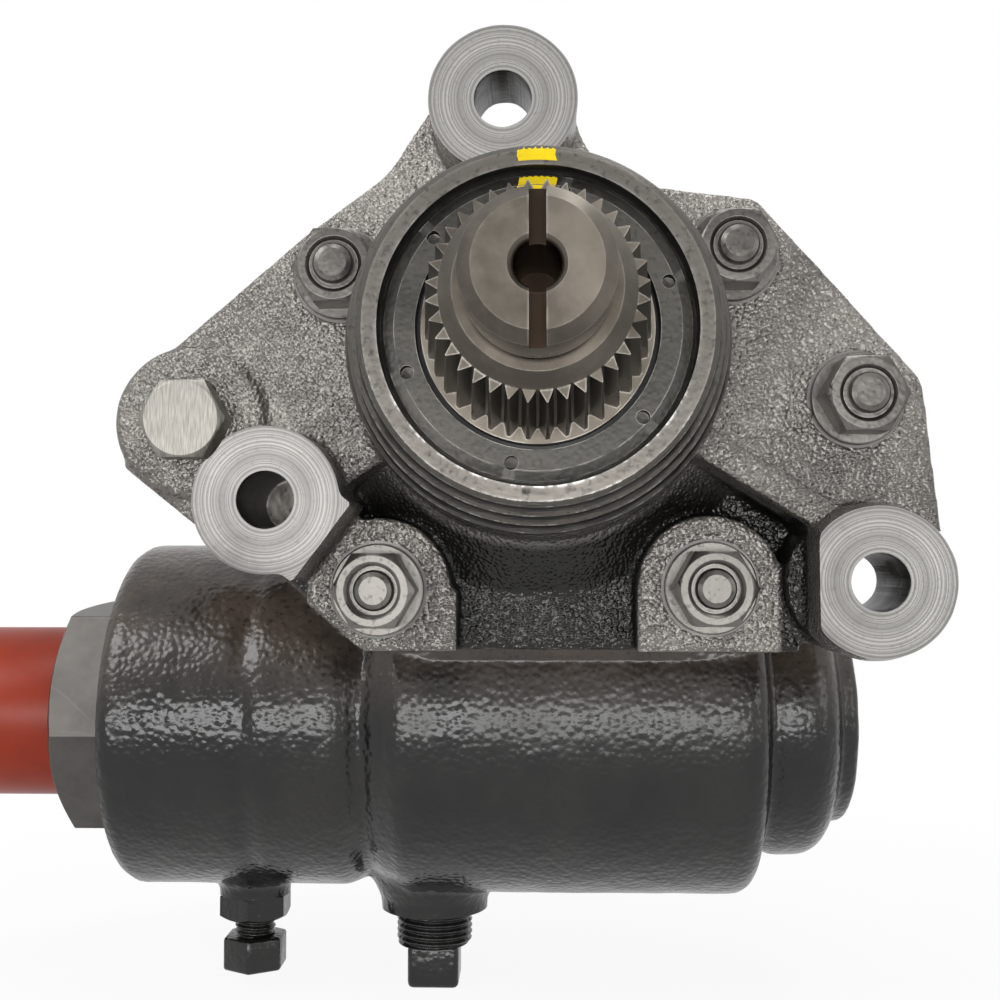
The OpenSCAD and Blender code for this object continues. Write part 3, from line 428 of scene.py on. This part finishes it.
# Front cover
# An iron casting that carries the front bearing, the seal and the three mounting feet. The skin is
# bare and oiled. Under the flange it is black with old oil and painted shade, and the nook beside
# the right foot is painted black as shade. The feet, the boss, the spot faces and the joint are cut
# bright, and the boss's flanks that turn from the front are painted darker as shade.
pocket_end = -10 * mm
seat_level = 20.5 * mm
cover_joint = 40 * mm
foot_radius = 17.5 * mm
foot_bore = 6.75 * mm
left_bore_end = 33 * mm
spot_radius = 12.2 * mm
pocket_radius = 34.8 * mm
shell_radius = 33.07 * mm
shell_end = 32 * mm
shaft_room = 30.6 * mm
mounts = {m["name"]: Vector(m["pos_m"]) for m in frame["record"]["mounts"]}
feet = [mounts["foot_bore_" + side] for side in ("top", "left", "right")]
studs = [Vector((x * mm, 0, z * mm)) for x, z in
         ((-49.6, 21.4), (48.4, 25.4), (79, -10.6), (-39.8, -57.9), (42.6, -57.4))]
cover = rough_casting("cover_casting", "front_cover", 0.85 * mm, 5, 0.35 * mm, [
    (1, 0.0, -stock), (1, cover_joint, stock)])
boss_profile = [(0, -25), (38.1, -25), (39.3, -23.8), (39.3, -20), (41.1, -18.5), (41.1, -14),
                (42.9, -12.5), (42.9, -7), (44.5, -5.5), (44.5, 5), (45.5, 10), (45.5, 39), (0, 39)]
boss = link("boss", turned_mesh("boss", [(r * mm, y * mm) for r, y in boss_profile]))
boss.rotation_euler = (-math.pi / 2, 0, 0)
cuts = [bar(f, "Y", foot_radius + 3 * mm, -20 * mm, 0) for f in feet]
machine(cover, cuts)
cuts = [bar(s, "Y", spot_radius, 0, seat_level) for s in studs]
cuts += [bar(f, "Y", foot_bore, -5 * mm, end) for f, end in zip(feet, (reach, left_bore_end, reach))]
cuts += [
    slab((-reach, cover_joint, -reach), (reach, reach, reach)),
    bar((0, 0, 0), "Y", pocket_radius, -reach, pocket_end),
    bar((0, 0, 0), "Y", shell_radius, -reach, shell_end),
    bar((0, 0, 0), "Y", shaft_room, -reach, reach)]
machine(cover, cuts, [boss])
smooth_faces(cover)

cover_iron, tree, shader = new_material("cover_iron")
skin = use(tree, cast_skin, {"Pebble": 0.95 * mm})
wear = use(tree, edge_wear, {"Width": 0.8 * mm})
spot = where(tree)
# Painted shade: the belly under the flange is darkened as old oil and painted shade, and the nook beside
# the right foot is painted black as shade.
belly = calc(tree, "MULTIPLY", between(tree, spot["Z"], -22 * mm, -38 * mm),
             between(tree, spot["Y"], 21.5 * mm, 23.5 * mm))
painted_shade_nook = calc(tree, "MULTIPLY", between(tree, spot["Z"], -37 * mm, -41 * mm),
            between(tree, spot["Y"], 12 * mm, 14 * mm))
painted_shade_nook = calc(tree, "MULTIPLY", painted_shade_nook, between(tree, spot["X"], 58.5 * mm, 60.5 * mm))
oil_and_painted_shade = calc(tree, "MULTIPLY", calc(tree, "MAXIMUM", belly, painted_shade_nook),
            between(tree, spot["X"], 72 * mm, 66 * mm))
colour = mottle(tree, skin, (0.23, 0.215, 0.196), (0.105, 0.098, 0.09), 0.2)
colour = tint(tree, oil_and_painted_shade, colour, (0.016, 0.015, 0.014))
colour = tint(tree, skin["Speck"], colour, (0.022, 0.02, 0.018), 0.7)
colour = tint(tree, wear["Mask"], colour, (0.42, 0.41, 0.39), 0.25)
gloss = place(tree, "Mix", {0: oil_and_painted_shade, 2: sheen(tree, skin, 0.32, 0.19), 3: 0.15}).outputs[0]
finish_with(tree, shader, colour, gloss, (skin["Height"], 0.9, 0.45 * mm), 0.5)
cover.data.materials.append(cover_iron)

turned_face, given, out = new_group("turned_face", {"Spacing": 0.6 * mm}, ["Height", "Shade"])
offset = place(turned_face, "Attribute", attribute_name="from_centre").outputs["Vector"]
ring = place(turned_face, "VectorMath", {0: offset}, operation="LENGTH").outputs["Value"]
ring = calc(turned_face, "DIVIDE", ring, given["Spacing"])
grooves = place(turned_face, "TexNoise", {"W": ring, "Scale": 1.0, "Detail": 2.0}, noise_dimensions="1D")
bands = place(turned_face, "TexNoise", {"W": ring, "Scale": 0.16, "Detail": 2.0}, noise_dimensions="1D")
turned_face.links.new(grooves.outputs[0], out["Height"])
turned_face.links.new(bands.outputs[0], out["Shade"])

cut_iron, tree, shader = new_material("cut_iron")
marks = use(tree, turned_face, {"Spacing": 0.5 * mm})
skin = use(tree, cast_skin, {"Pebble": 1.2 * mm})
line = between(tree, marks["Height"], 0.38, 0.6)
colour = tint(tree, between(tree, marks["Shade"], 0.3, 0.7), (0.235, 0.229, 0.218), (0.35, 0.341, 0.326))
colour = tint(tree, line, colour, (0.09, 0.086, 0.082), 0.55)
stain = between(tree, skin["Blotch"], 0.5, 0.75)
colour = tint(tree, stain, colour, (0.09, 0.084, 0.078), 0.5)
colour = tint(tree, skin["Speck"], colour, (0.09, 0.086, 0.082), 0.25)
finish_with(tree, shader, colour, sheen(tree, skin, 0.44, 0.58), (marks["Height"], 0.4, 0.15 * mm), 0.85)
cover.data.materials.append(cut_iron)

boss_iron, tree, shader = new_material("boss_iron")
marks = use(tree, turned_face, {"Spacing": 0.7 * mm})
skin = use(tree, cast_skin, {"Pebble": 1.4 * mm})
wear = use(tree, edge_wear, {"Width": 1.5 * mm})
low_side = between(tree, where(tree)["Z"], -4 * mm, -24 * mm)
chips = calc(tree, "MULTIPLY", low_side, between(tree, skin["Height"], 0.05, 0.3))
# Painted shade: faces of the boss that turn away from the front are coloured near black.
front = place(tree, "SeparateXYZ", {0: place(tree, "NewGeometry").outputs["True Normal"]}).outputs["Y"]
colour = tint(tree, between(tree, marks["Shade"], 0.3, 0.7), (0.075, 0.068, 0.06), (0.14, 0.128, 0.113))
colour = tint(tree, between(tree, front, -0.9, -0.5), colour, (0.014, 0.013, 0.011))
colour = tint(tree, skin["Speck"], colour, (0.028, 0.026, 0.024), 0.6)
bare = calc(tree, "MULTIPLY", wear["Mask"], calc(tree, "ADD", 0.25, chips))
colour = tint(tree, bare, colour, (0.55, 0.54, 0.52))
finish_with(tree, shader, colour, sheen(tree, skin, 0.3, 0.45), (skin["Height"], 0.15, 0.25 * mm), 0.7)
cover.data.materials.append(boss_iron)
boss_radius = 45 * mm
boss_end = 4 * mm
flank_share = 0.7


def mark_cut_faces(obj, feet, studs):
    """Finish of each face: 1 for feet and spot faces, 2 for the boss and the bores, 0 for the rough skin.

    Each face also carries its corners' offsets from the axis that it was cut round."""
    mesh = obj.data
    count = len(mesh.polygons)
    normal = np.empty(count * 3)
    mesh.polygons.foreach_get("normal", normal)
    normal = normal.reshape(-1, 3)
    middle = np.empty(count * 3)
    mesh.polygons.foreach_get("center", middle)
    middle = middle.reshape(-1, 3)
    front = normal[:, 1] < -0.999
    turned = (np.hypot(middle[:, 0], middle[:, 2]) < boss_radius) & (middle[:, 1] < boss_end)
    finish = np.where(turned, 2, 0)
    centre = np.zeros((count, 3))
    for spots, level in ((feet, 0.0), (studs, seat_level)):
        flat = front & (np.abs(middle[:, 1] - level) < 0.02 * mm) & ~turned
        finish[flat] = 1
        spots = np.array(spots)
        away = np.hypot(middle[:, None, 0] - spots[None, :, 0], middle[:, None, 2] - spots[None, :, 2])
        centre[flat] = spots[np.argmin(away, axis=1)][flat]
    for spot in feet:
        inside = np.hypot(middle[:, 0] - spot[0], middle[:, 2] - spot[2]) < foot_bore + 0.2 * mm
        finish[inside & (middle[:, 1] > 0.1 * mm)] = 2
    mesh.polygons.foreach_set("material_index", finish.astype(np.int32))
    corner = np.empty(len(mesh.loops), np.int32)
    mesh.loops.foreach_get("vertex_index", corner)
    sides = np.empty(count, np.int32)
    mesh.polygons.foreach_get("loop_total", sides)
    co = np.empty(len(mesh.vertices) * 3)
    mesh.vertices.foreach_get("co", co)
    offset = co.reshape(-1, 3)[corner] - np.repeat(centre, sides, axis=0)
    offset[:, 1] *= flank_share
    held = mesh.attributes.new("from_centre", "FLOAT_VECTOR", "CORNER")
    held.data.foreach_set("vector", offset.astype(np.float32).ravel())


mark_cut_faces(cover, feet, studs)
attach(cover, "housing")
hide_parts("front_cover")

# Marks on the cover
# A round foundry button stands on the flange, and a stroke of yellow inspection paint crosses the
# boss ring and the retainer at the top. The paint is brushed on and its edges are ragged.
button = link("foundry_button", turned_mesh("foundry_button", [
    (0, 19.5 * mm), (3.0 * mm, 19.5 * mm), (3.3 * mm, 19.7 * mm), (3.4 * mm, 21 * mm), (0, 21 * mm)], 32))
button.rotation_euler = (-math.pi / 2, 0, 0)
button.location = (64.7 * mm, 0, -14.9 * mm)
button.data.materials.append(cover_iron)
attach(button, "housing")


def paint_stroke(name, profile, left, right, steps=24):
    """Thin coat of paint across a turned face, along (radius, depth) points, with ragged sides."""
    rows = len(profile)
    fringe = 0.3 * mm
    above = 0.06 * mm
    below = -0.04 * mm
    points = []
    for lift in (above, below):
        for k, (r, y) in enumerate(profile):
            for i in range(steps + 1):
                ragged = fringe * math.sin(1.7 * k + 0.9) if i in (0, steps) else 0.0
                x = left + (right - left) * i / steps + ragged
                fray = fringe * abs(math.sin(2.3 * i)) if k in (0, rows - 1) else 0.0
                points.append((x, y - lift, math.sqrt(r ** 2 - x ** 2) + (fray if k == 0 else -fray)))
    wide = steps + 1
    n = rows * wide
    faces = []
    for k in range(rows - 1):
        for i in range(steps):
            a = k * wide + i
            faces.append((a, a + 1, a + wide + 1, a + wide))
            faces.append((n + a, n + a + wide, n + a + wide + 1, n + a + 1))
    rim = list(range(wide)) + [k * wide + steps for k in range(1, rows)]
    rim += [(rows - 1) * wide + i for i in range(steps - 1, -1, -1)]
    rim += [k * wide for k in range(rows - 2, 0, -1)]
    faces += [(a, a + n, b + n, b) for a, b in zip(rim, rim[1:] + rim[:1])]
    mesh = bpy.data.meshes.new(name)
    mesh.from_pydata(points, [], faces)
    return link(name, mesh)


mark_paint, tree, shader = new_material("mark_paint")
skin = use(tree, cast_skin, {"Pebble": 1.0 * mm})
colour = tint(tree, between(tree, skin["Blotch"], 0.4, 0.65), (0.84, 0.62, 0.003), (0.66, 0.47, 0.006))
finish_with(tree, shader, colour, 0.6, (skin["Height"], 0.3, 0.3 * mm))
shader.inputs["IOR"].default_value = 1.3
ring_profile = [(34.9, -24.1), (35.8, -25), (37, -25), (38.1, -25), (39.1, -24)]
retainer_profile = [(28.2, -22), (30, -22), (31.2, -22), (31.5, -21.2), (33.5, -21.2)]
for name, profile, finish in (("ring_stroke", ring_profile, "cover_iron"),
                              ("retainer_stroke", retainer_profile, "retainer_steel")):
    stroke = paint_stroke(name, [(r * mm, y * mm) for r, y in profile], -4.2 * mm, 4.1 * mm)
    stroke.data.materials.append(mark_paint)
    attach(stroke, "housing")


# Nuts, washers, studs and bolt
# Phosphated steel nuts on thick round washers hold the cover on its studs, and one plain bolt with
# a bright ground head stands at the left.
def break_edges(node, width):
    """Takes the sharp edges off a CAD node as it is shown."""
    shown = frame["nodes"][node]
    shown.modifiers.new("weld", "WELD").merge_threshold = 0.01 * mm
    edge = shown.modifiers.new("edges", "BEVEL")
    edge.width = width
    edge.segments = 2
    edge.limit_method = "ANGLE"
    edge.angle_limit = math.radians(25)


nut_steel, tree, shader = new_material("nut_steel")
skin = use(tree, cast_skin, {"Pebble": 1.2 * mm})
wear = use(tree, edge_wear, {"Width": 0.6 * mm})
colour = mottle(tree, skin, (0.09, 0.085, 0.078), (0.18, 0.17, 0.157))
colour = tint(tree, skin["Speck"], colour, (0.03, 0.028, 0.026), 0.5)
colour = tint(tree, wear["Mask"], colour, (0.34, 0.33, 0.315), 0.6)
finish_with(tree, shader, colour, sheen(tree, skin, 0.28, 0.4), (skin["Height"], 0.15, 0.3 * mm), 0.8)
for name in ("cover_nuts", "cover_washers", "cover_studs", "adjuster_screw", "adjuster_lock_nut",
             "adjuster_collar"):
    frame["nodes"][name].data.materials[0] = nut_steel
for name, width in (("cover_nuts", 0.35), ("cover_washers", 0.4), ("cover_bolt", 0.35),
                    ("adjuster_lock_nut", 0.35)):
    break_edges(name, width * mm)

bolt_steel, tree, shader = new_material("bolt_steel")
grain = place(tree, "Mapping", {"Vector": place(tree, "TexCoord").outputs["Object"],
                                "Rotation": (0, math.radians(35), 0), "Scale": (3000, 500, 240)})
brushed = place(tree, "TexNoise", {"Vector": grain.outputs[0], "Scale": 1.0, "Detail": 3.0}).outputs[0]
colour = tint(tree, between(tree, brushed, 0.3, 0.7), (0.17, 0.161, 0.145), (0.28, 0.267, 0.242))
finish_with(tree, shader, colour, 0.42, (brushed, 0.25, 0.1 * mm), 0.95)
frame["nodes"]["cover_bolt"].data.materials[0] = bolt_steel

# Output shaft, seal and retainer
# The sector shaft is turned and serrated steel with a light film of oil, and the slot and the tapped
# hole of its nose are coloured near black inside. A dark spanner ring, screwed in, holds the lip seal.
shaft_steel, tree, shader = new_material("shaft_steel")
skin = use(tree, cast_skin, {"Pebble": 2 * mm})
wear = use(tree, edge_wear, {"Width": 0.8 * mm})
spot = where(tree)
along = spot["Y"]
lines = place(tree, "TexNoise", {"W": calc(tree, "DIVIDE", along, 0.5 * mm), "Scale": 1.0, "Detail": 2.0},
              noise_dimensions="1D").outputs[0]
colour = mottle(tree, skin, (0.07, 0.061, 0.05), (0.15, 0.133, 0.111))
colour = tint(tree, wear["Mask"], colour, (0.33, 0.31, 0.285), 0.7)
nose_level = cad_box[0][1]
across = calc(tree, "ABSOLUTE", spot["X"])
off_axis = place(tree, "CombineXYZ", {0: spot["X"], 2: spot["Z"]})
off_axis = place(tree, "VectorMath", {0: off_axis.outputs[0]}, operation="LENGTH").outputs["Value"]
# Inside the slot and the tapped hole of the nose, deeper than 0.8 mm, the colour goes near black.
darkened_inside = calc(tree, "MULTIPLY", between(tree, across, 1.6 * mm, 1.5 * mm),
              between(tree, along, nose_level + 4.8 * mm, nose_level + 4.6 * mm))
darkened_inside = calc(tree, "MAXIMUM", darkened_inside, between(tree, off_axis, 4.9 * mm, 4.3 * mm))
darkened_inside = calc(tree, "MULTIPLY", darkened_inside,
              between(tree, along, nose_level + 0.1 * mm, nose_level + 0.8 * mm))
colour = tint(tree, darkened_inside, colour, (0.016, 0.009, 0.005), 0.92)
finish_with(tree, shader, colour, sheen(tree, skin, 0.26, 0.4), (lines, 0.15, 0.1 * mm), 0.95)
for name in ("sector_shaft", "input_shaft"):
    frame["nodes"][name].data.materials[0] = shaft_steel


def ring_cutter(inner, outer, start, end, steps=128):
    """Square ring round Y for a cut, between two places on that axis."""
    points = []
    for i in range(steps):
        a = 2 * math.pi * i / steps
        points += [(r * math.cos(a), y, r * math.sin(a)) for r, y in
                   ((inner, start), (outer, start), (outer, end), (inner, end))]
    faces = []
    for i in range(steps):
        here = 4 * i
        there = 4 * ((i + 1) % steps)
        faces += [(here + k, here + (k + 1) % 4, there + (k + 1) % 4, there + k) for k in range(4)]
    mesh = bpy.data.meshes.new("cut")
    mesh.from_pydata(points, [], faces)
    return link("cut", mesh)


retainer_level = -22 * mm
step_radius = 31.4 * mm
step_depth = 0.8 * mm
retainer = link("retainer_ring", frame["nodes"]["seal_retainer"].data.copy())
retainer.modifiers.new("weld", "WELD").merge_threshold = 0.01 * mm
machine(retainer, [ring_cutter(step_radius, 36 * mm, retainer_level - 4 * mm,
                               retainer_level + step_depth)])
rim = retainer.modifiers.new("edges", "BEVEL")
rim.width = 0.25 * mm
rim.segments = 2
rim.limit_method = "ANGLE"
rim.angle_limit = math.radians(40)
settle(retainer)
smooth_faces(retainer, 20)
retainer_steel, tree, shader = new_material("retainer_steel")
skin = use(tree, cast_skin, {"Pebble": 1.2 * mm})
wear = use(tree, edge_wear, {"Width": 0.5 * mm})
colour = mottle(tree, skin, (0.036, 0.034, 0.03), (0.07, 0.066, 0.058))
colour = tint(tree, skin["Speck"], colour, (0.018, 0.017, 0.015), 0.5)
colour = tint(tree, wear["Mask"], colour, (0.32, 0.31, 0.29), 0.7)
finish_with(tree, shader, colour, sheen(tree, skin, 0.32, 0.46), (skin["Height"], 0.2, 0.2 * mm), 0.7)
retainer.data.materials.append(retainer_steel)
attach(retainer, "housing")
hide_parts("seal_retainer")

seal_rubber, tree, shader = new_material("seal_rubber")
skin = use(tree, cast_skin, {"Pebble": 0.6 * mm})
colour = tint(tree, skin["Blotch"], (0.012, 0.012, 0.012), (0.03, 0.029, 0.028))
finish_with(tree, shader, colour, sheen(tree, skin, 0.42, 0.6), (skin["Height"], 0.25, 0.1 * mm))
for name in ("output_seal", "end_plug_ring", "input_seal"):
    frame["nodes"][name].data.materials[0] = seal_rubber

# Joint and inner pieces
# A sheet of oiled paper seals the joint. Inside, the piston, the worm and the valve are ground steel,
# the bearings are polished steel, and the piston's ring is filled plastic. They are seen only when
# the gear is taken apart.
gasket_paper, tree, shader = new_material("gasket_paper")
spot = place(tree, "TexCoord").outputs["Object"]
fibres = place(tree, "TexNoise", {"Vector": spot, "Scale": 900.0, "Detail": 5.0, "Distortion": 1.5})
fibres = fibres.outputs[0]
colour = tint(tree, between(tree, fibres, 0.35, 0.65), (0.04, 0.037, 0.031), (0.085, 0.078, 0.064))
finish_with(tree, shader, colour, 0.8, (fibres, 0.3, 0.1 * mm))
frame["nodes"]["cover_gasket"].data.materials[0] = gasket_paper

ground_steel, tree, shader = new_material("ground_steel")
skin = use(tree, cast_skin, {"Pebble": 3 * mm})
spot = place(tree, "TexCoord").outputs["Object"]
grain = place(tree, "Mapping", {"Vector": spot, "Scale": (4000, 300, 300)})
ground = place(tree, "TexNoise", {"Vector": grain.outputs[0], "Scale": 1.0, "Detail": 3.0}).outputs[0]
colour = tint(tree, between(tree, ground, 0.3, 0.7), (0.24, 0.235, 0.225), (0.34, 0.333, 0.32))
stain = between(tree, skin["Blotch"], 0.5, 0.7)
colour = tint(tree, stain, colour, (0.15, 0.12, 0.085), 0.4)
finish_with(tree, shader, colour, sheen(tree, skin, 0.2, 0.34), (ground, 0.15, 0.05 * mm), 1.0)
for name in ("worm_shaft", "rack_piston", "valve_sleeve", "torsion_bar", "torsion_pin", "ball_return"):
    frame["nodes"][name].data.materials[0] = ground_steel

bearing_steel, tree, shader = new_material("bearing_steel")
skin = use(tree, cast_skin, {"Pebble": 2 * mm})
colour = mottle(tree, skin, (0.36, 0.355, 0.345), (0.46, 0.455, 0.445))
colour = tint(tree, skin["Speck"], colour, (0.2, 0.18, 0.15), 0.3)
finish_with(tree, shader, colour, sheen(tree, skin, 0.12, 0.22), metallic=1.0)
for name in ("track_balls", "front_bearing_shell", "front_bearing_rollers", "rear_bearing_shell",
             "rear_bearing_rollers", "worm_bearing_outer", "worm_bearing_balls", "worm_bearing_inner"):
    frame["nodes"][name].data.materials[0] = bearing_steel

ring_plastic, tree, shader = new_material("ring_plastic")
skin = use(tree, cast_skin, {"Pebble": 1 * mm})
colour = mottle(tree, skin, (0.09, 0.06, 0.038), (0.14, 0.1, 0.066), 0.2)
finish_with(tree, shader, colour, 0.45, (skin["Height"], 0.15, 0.1 * mm))
frame["nodes"]["piston_ring"].data.materials[0] = ring_plastic

# End plug and cap
# A forged steel hexagon is screwed into the collar and closes the input end. An orange-red cap of
# moulded plastic is pushed over its nose and guards the input shaft.
plug_steel, tree, shader = new_material("plug_steel")
skin = use(tree, cast_skin, {"Pebble": 2 * mm})
wear = use(tree, edge_wear, {"Width": 1.2 * mm})
colour = mottle(tree, skin, (0.055, 0.051, 0.048), (0.105, 0.099, 0.093))
colour = tint(tree, wear["Mask"], colour, (0.30, 0.29, 0.28), 0.5)
finish_with(tree, shader, colour, sheen(tree, skin, 0.36, 0.5), metallic=0.95)
frame["nodes"]["end_plug"].data.materials[0] = plug_steel
break_edges("end_plug", 0.8 * mm)

cap_plastic, tree, shader = new_material("cap_plastic")
skin = use(tree, cast_skin, {"Pebble": 0.8 * mm})
colour = mottle(tree, skin, (0.19, 0.014, 0.002), (0.26, 0.022, 0.003), 0.2)
finish_with(tree, shader, colour, 0.38)
shader.inputs["IOR"].default_value = 1.36
frame["nodes"]["input_cap"].data.materials[0] = cap_plastic
break_edges("input_cap", 1.2 * mm)


# Fittings below
# The limiter screw with its lock nut and the square-head plug are steel with rolled threads, painted
# with the housing after they were screwed in.
def threaded_bar(name, x, radius, pitch, depth, low, high, steps=64):
    """Upright bar under the cylinder with a V thread that fades out at its lower end."""
    rows_per_turn = 10
    crest = 0.15
    start_drop = 0.4
    rows = int((high - low) / pitch * rows_per_turn)
    points = [(x, cylinder.y, low), (x, cylinder.y, high)]
    for k in range(rows + 1):
        z = low + (high - low) * k / rows
        fade = min(1.0, (z - low) / pitch)
        for i in range(steps):
            turn = (z / pitch + i / steps) % 1.0
            groove = max(0.0, (1 + crest) * abs(2 * turn - 1) - crest)
            r = radius - depth * groove - start_drop * depth * (1 - fade)
            a = 2 * math.pi * i / steps
            points.append((x + r * math.cos(a), cylinder.y + r * math.sin(a), z))
    faces = []
    for i in range(steps):
        j = (i + 1) % steps
        faces.append((0, 2 + j, 2 + i))
        faces.append((1, 2 + rows * steps + i, 2 + rows * steps + j))
        faces += [(2 + k * steps + i, 2 + k * steps + j, 2 + (k + 1) * steps + j, 2 + (k + 1) * steps + i)
                  for k in range(rows)]
    mesh = bpy.data.meshes.new(name)
    mesh.from_pydata(points, [], faces)
    mesh.shade_smooth()
    return link(name, mesh)


def upright_prism(name, x, corners, low, high, edge):
    """Upright prism under the cylinder, from the offsets of its corners, with rounded edges."""
    n = len(corners)
    points = [(x + a, cylinder.y + b, z) for z in (low, high) for a, b in corners]
    faces = [tuple(range(n - 1, -1, -1)), tuple(range(n, 2 * n))]
    faces += [(i, (i + 1) % n, n + (i + 1) % n, n + i) for i in range(n)]
    mesh = bpy.data.meshes.new(name)
    mesh.from_pydata(points, [], faces)
    made = link(name, mesh)
    soft = made.modifiers.new("edges", "BEVEL")
    soft.width = edge
    soft.segments = 3
    settle(made)
    smooth_faces(made)
    return made


hex_r = 8.5 * mm / math.cos(math.radians(30))
turns = [math.radians(60 * i) for i in range(6)]
hexagon = [(hex_r * math.sin(a), -hex_r * math.cos(a)) for a in turns]
half = 7.5 * mm
square = [(-half, -half), (half, -half), (half, half), (-half, half)]
limit_thread = threaded_bar("limit_thread", limit_x, 6 * mm, 1.75 * mm, 0.8 * mm, -163 * mm, -140 * mm)
limit_head = upright_prism("limit_head", limit_x, hexagon, -172 * mm, -162.4 * mm, 0.9 * mm)
plug_thread = threaded_bar("plug_thread", drain_x, 11.2 * mm, 1.8 * mm, 0.95 * mm, -164 * mm, -144 * mm)
plug_head = upright_prism("plug_head", drain_x, square, -176 * mm, -163.5 * mm, 1.6 * mm)
for piece in (limit_thread, limit_head, plug_thread, plug_head):
    piece.data.materials.append(housing_paint)
    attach(piece, "housing")
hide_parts("limit_screw")
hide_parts("pipe_plug")
frame["nodes"]["limit_lock_nut"].data.materials[0] = housing_paint
break_edges("limit_lock_nut", 0.5 * mm)
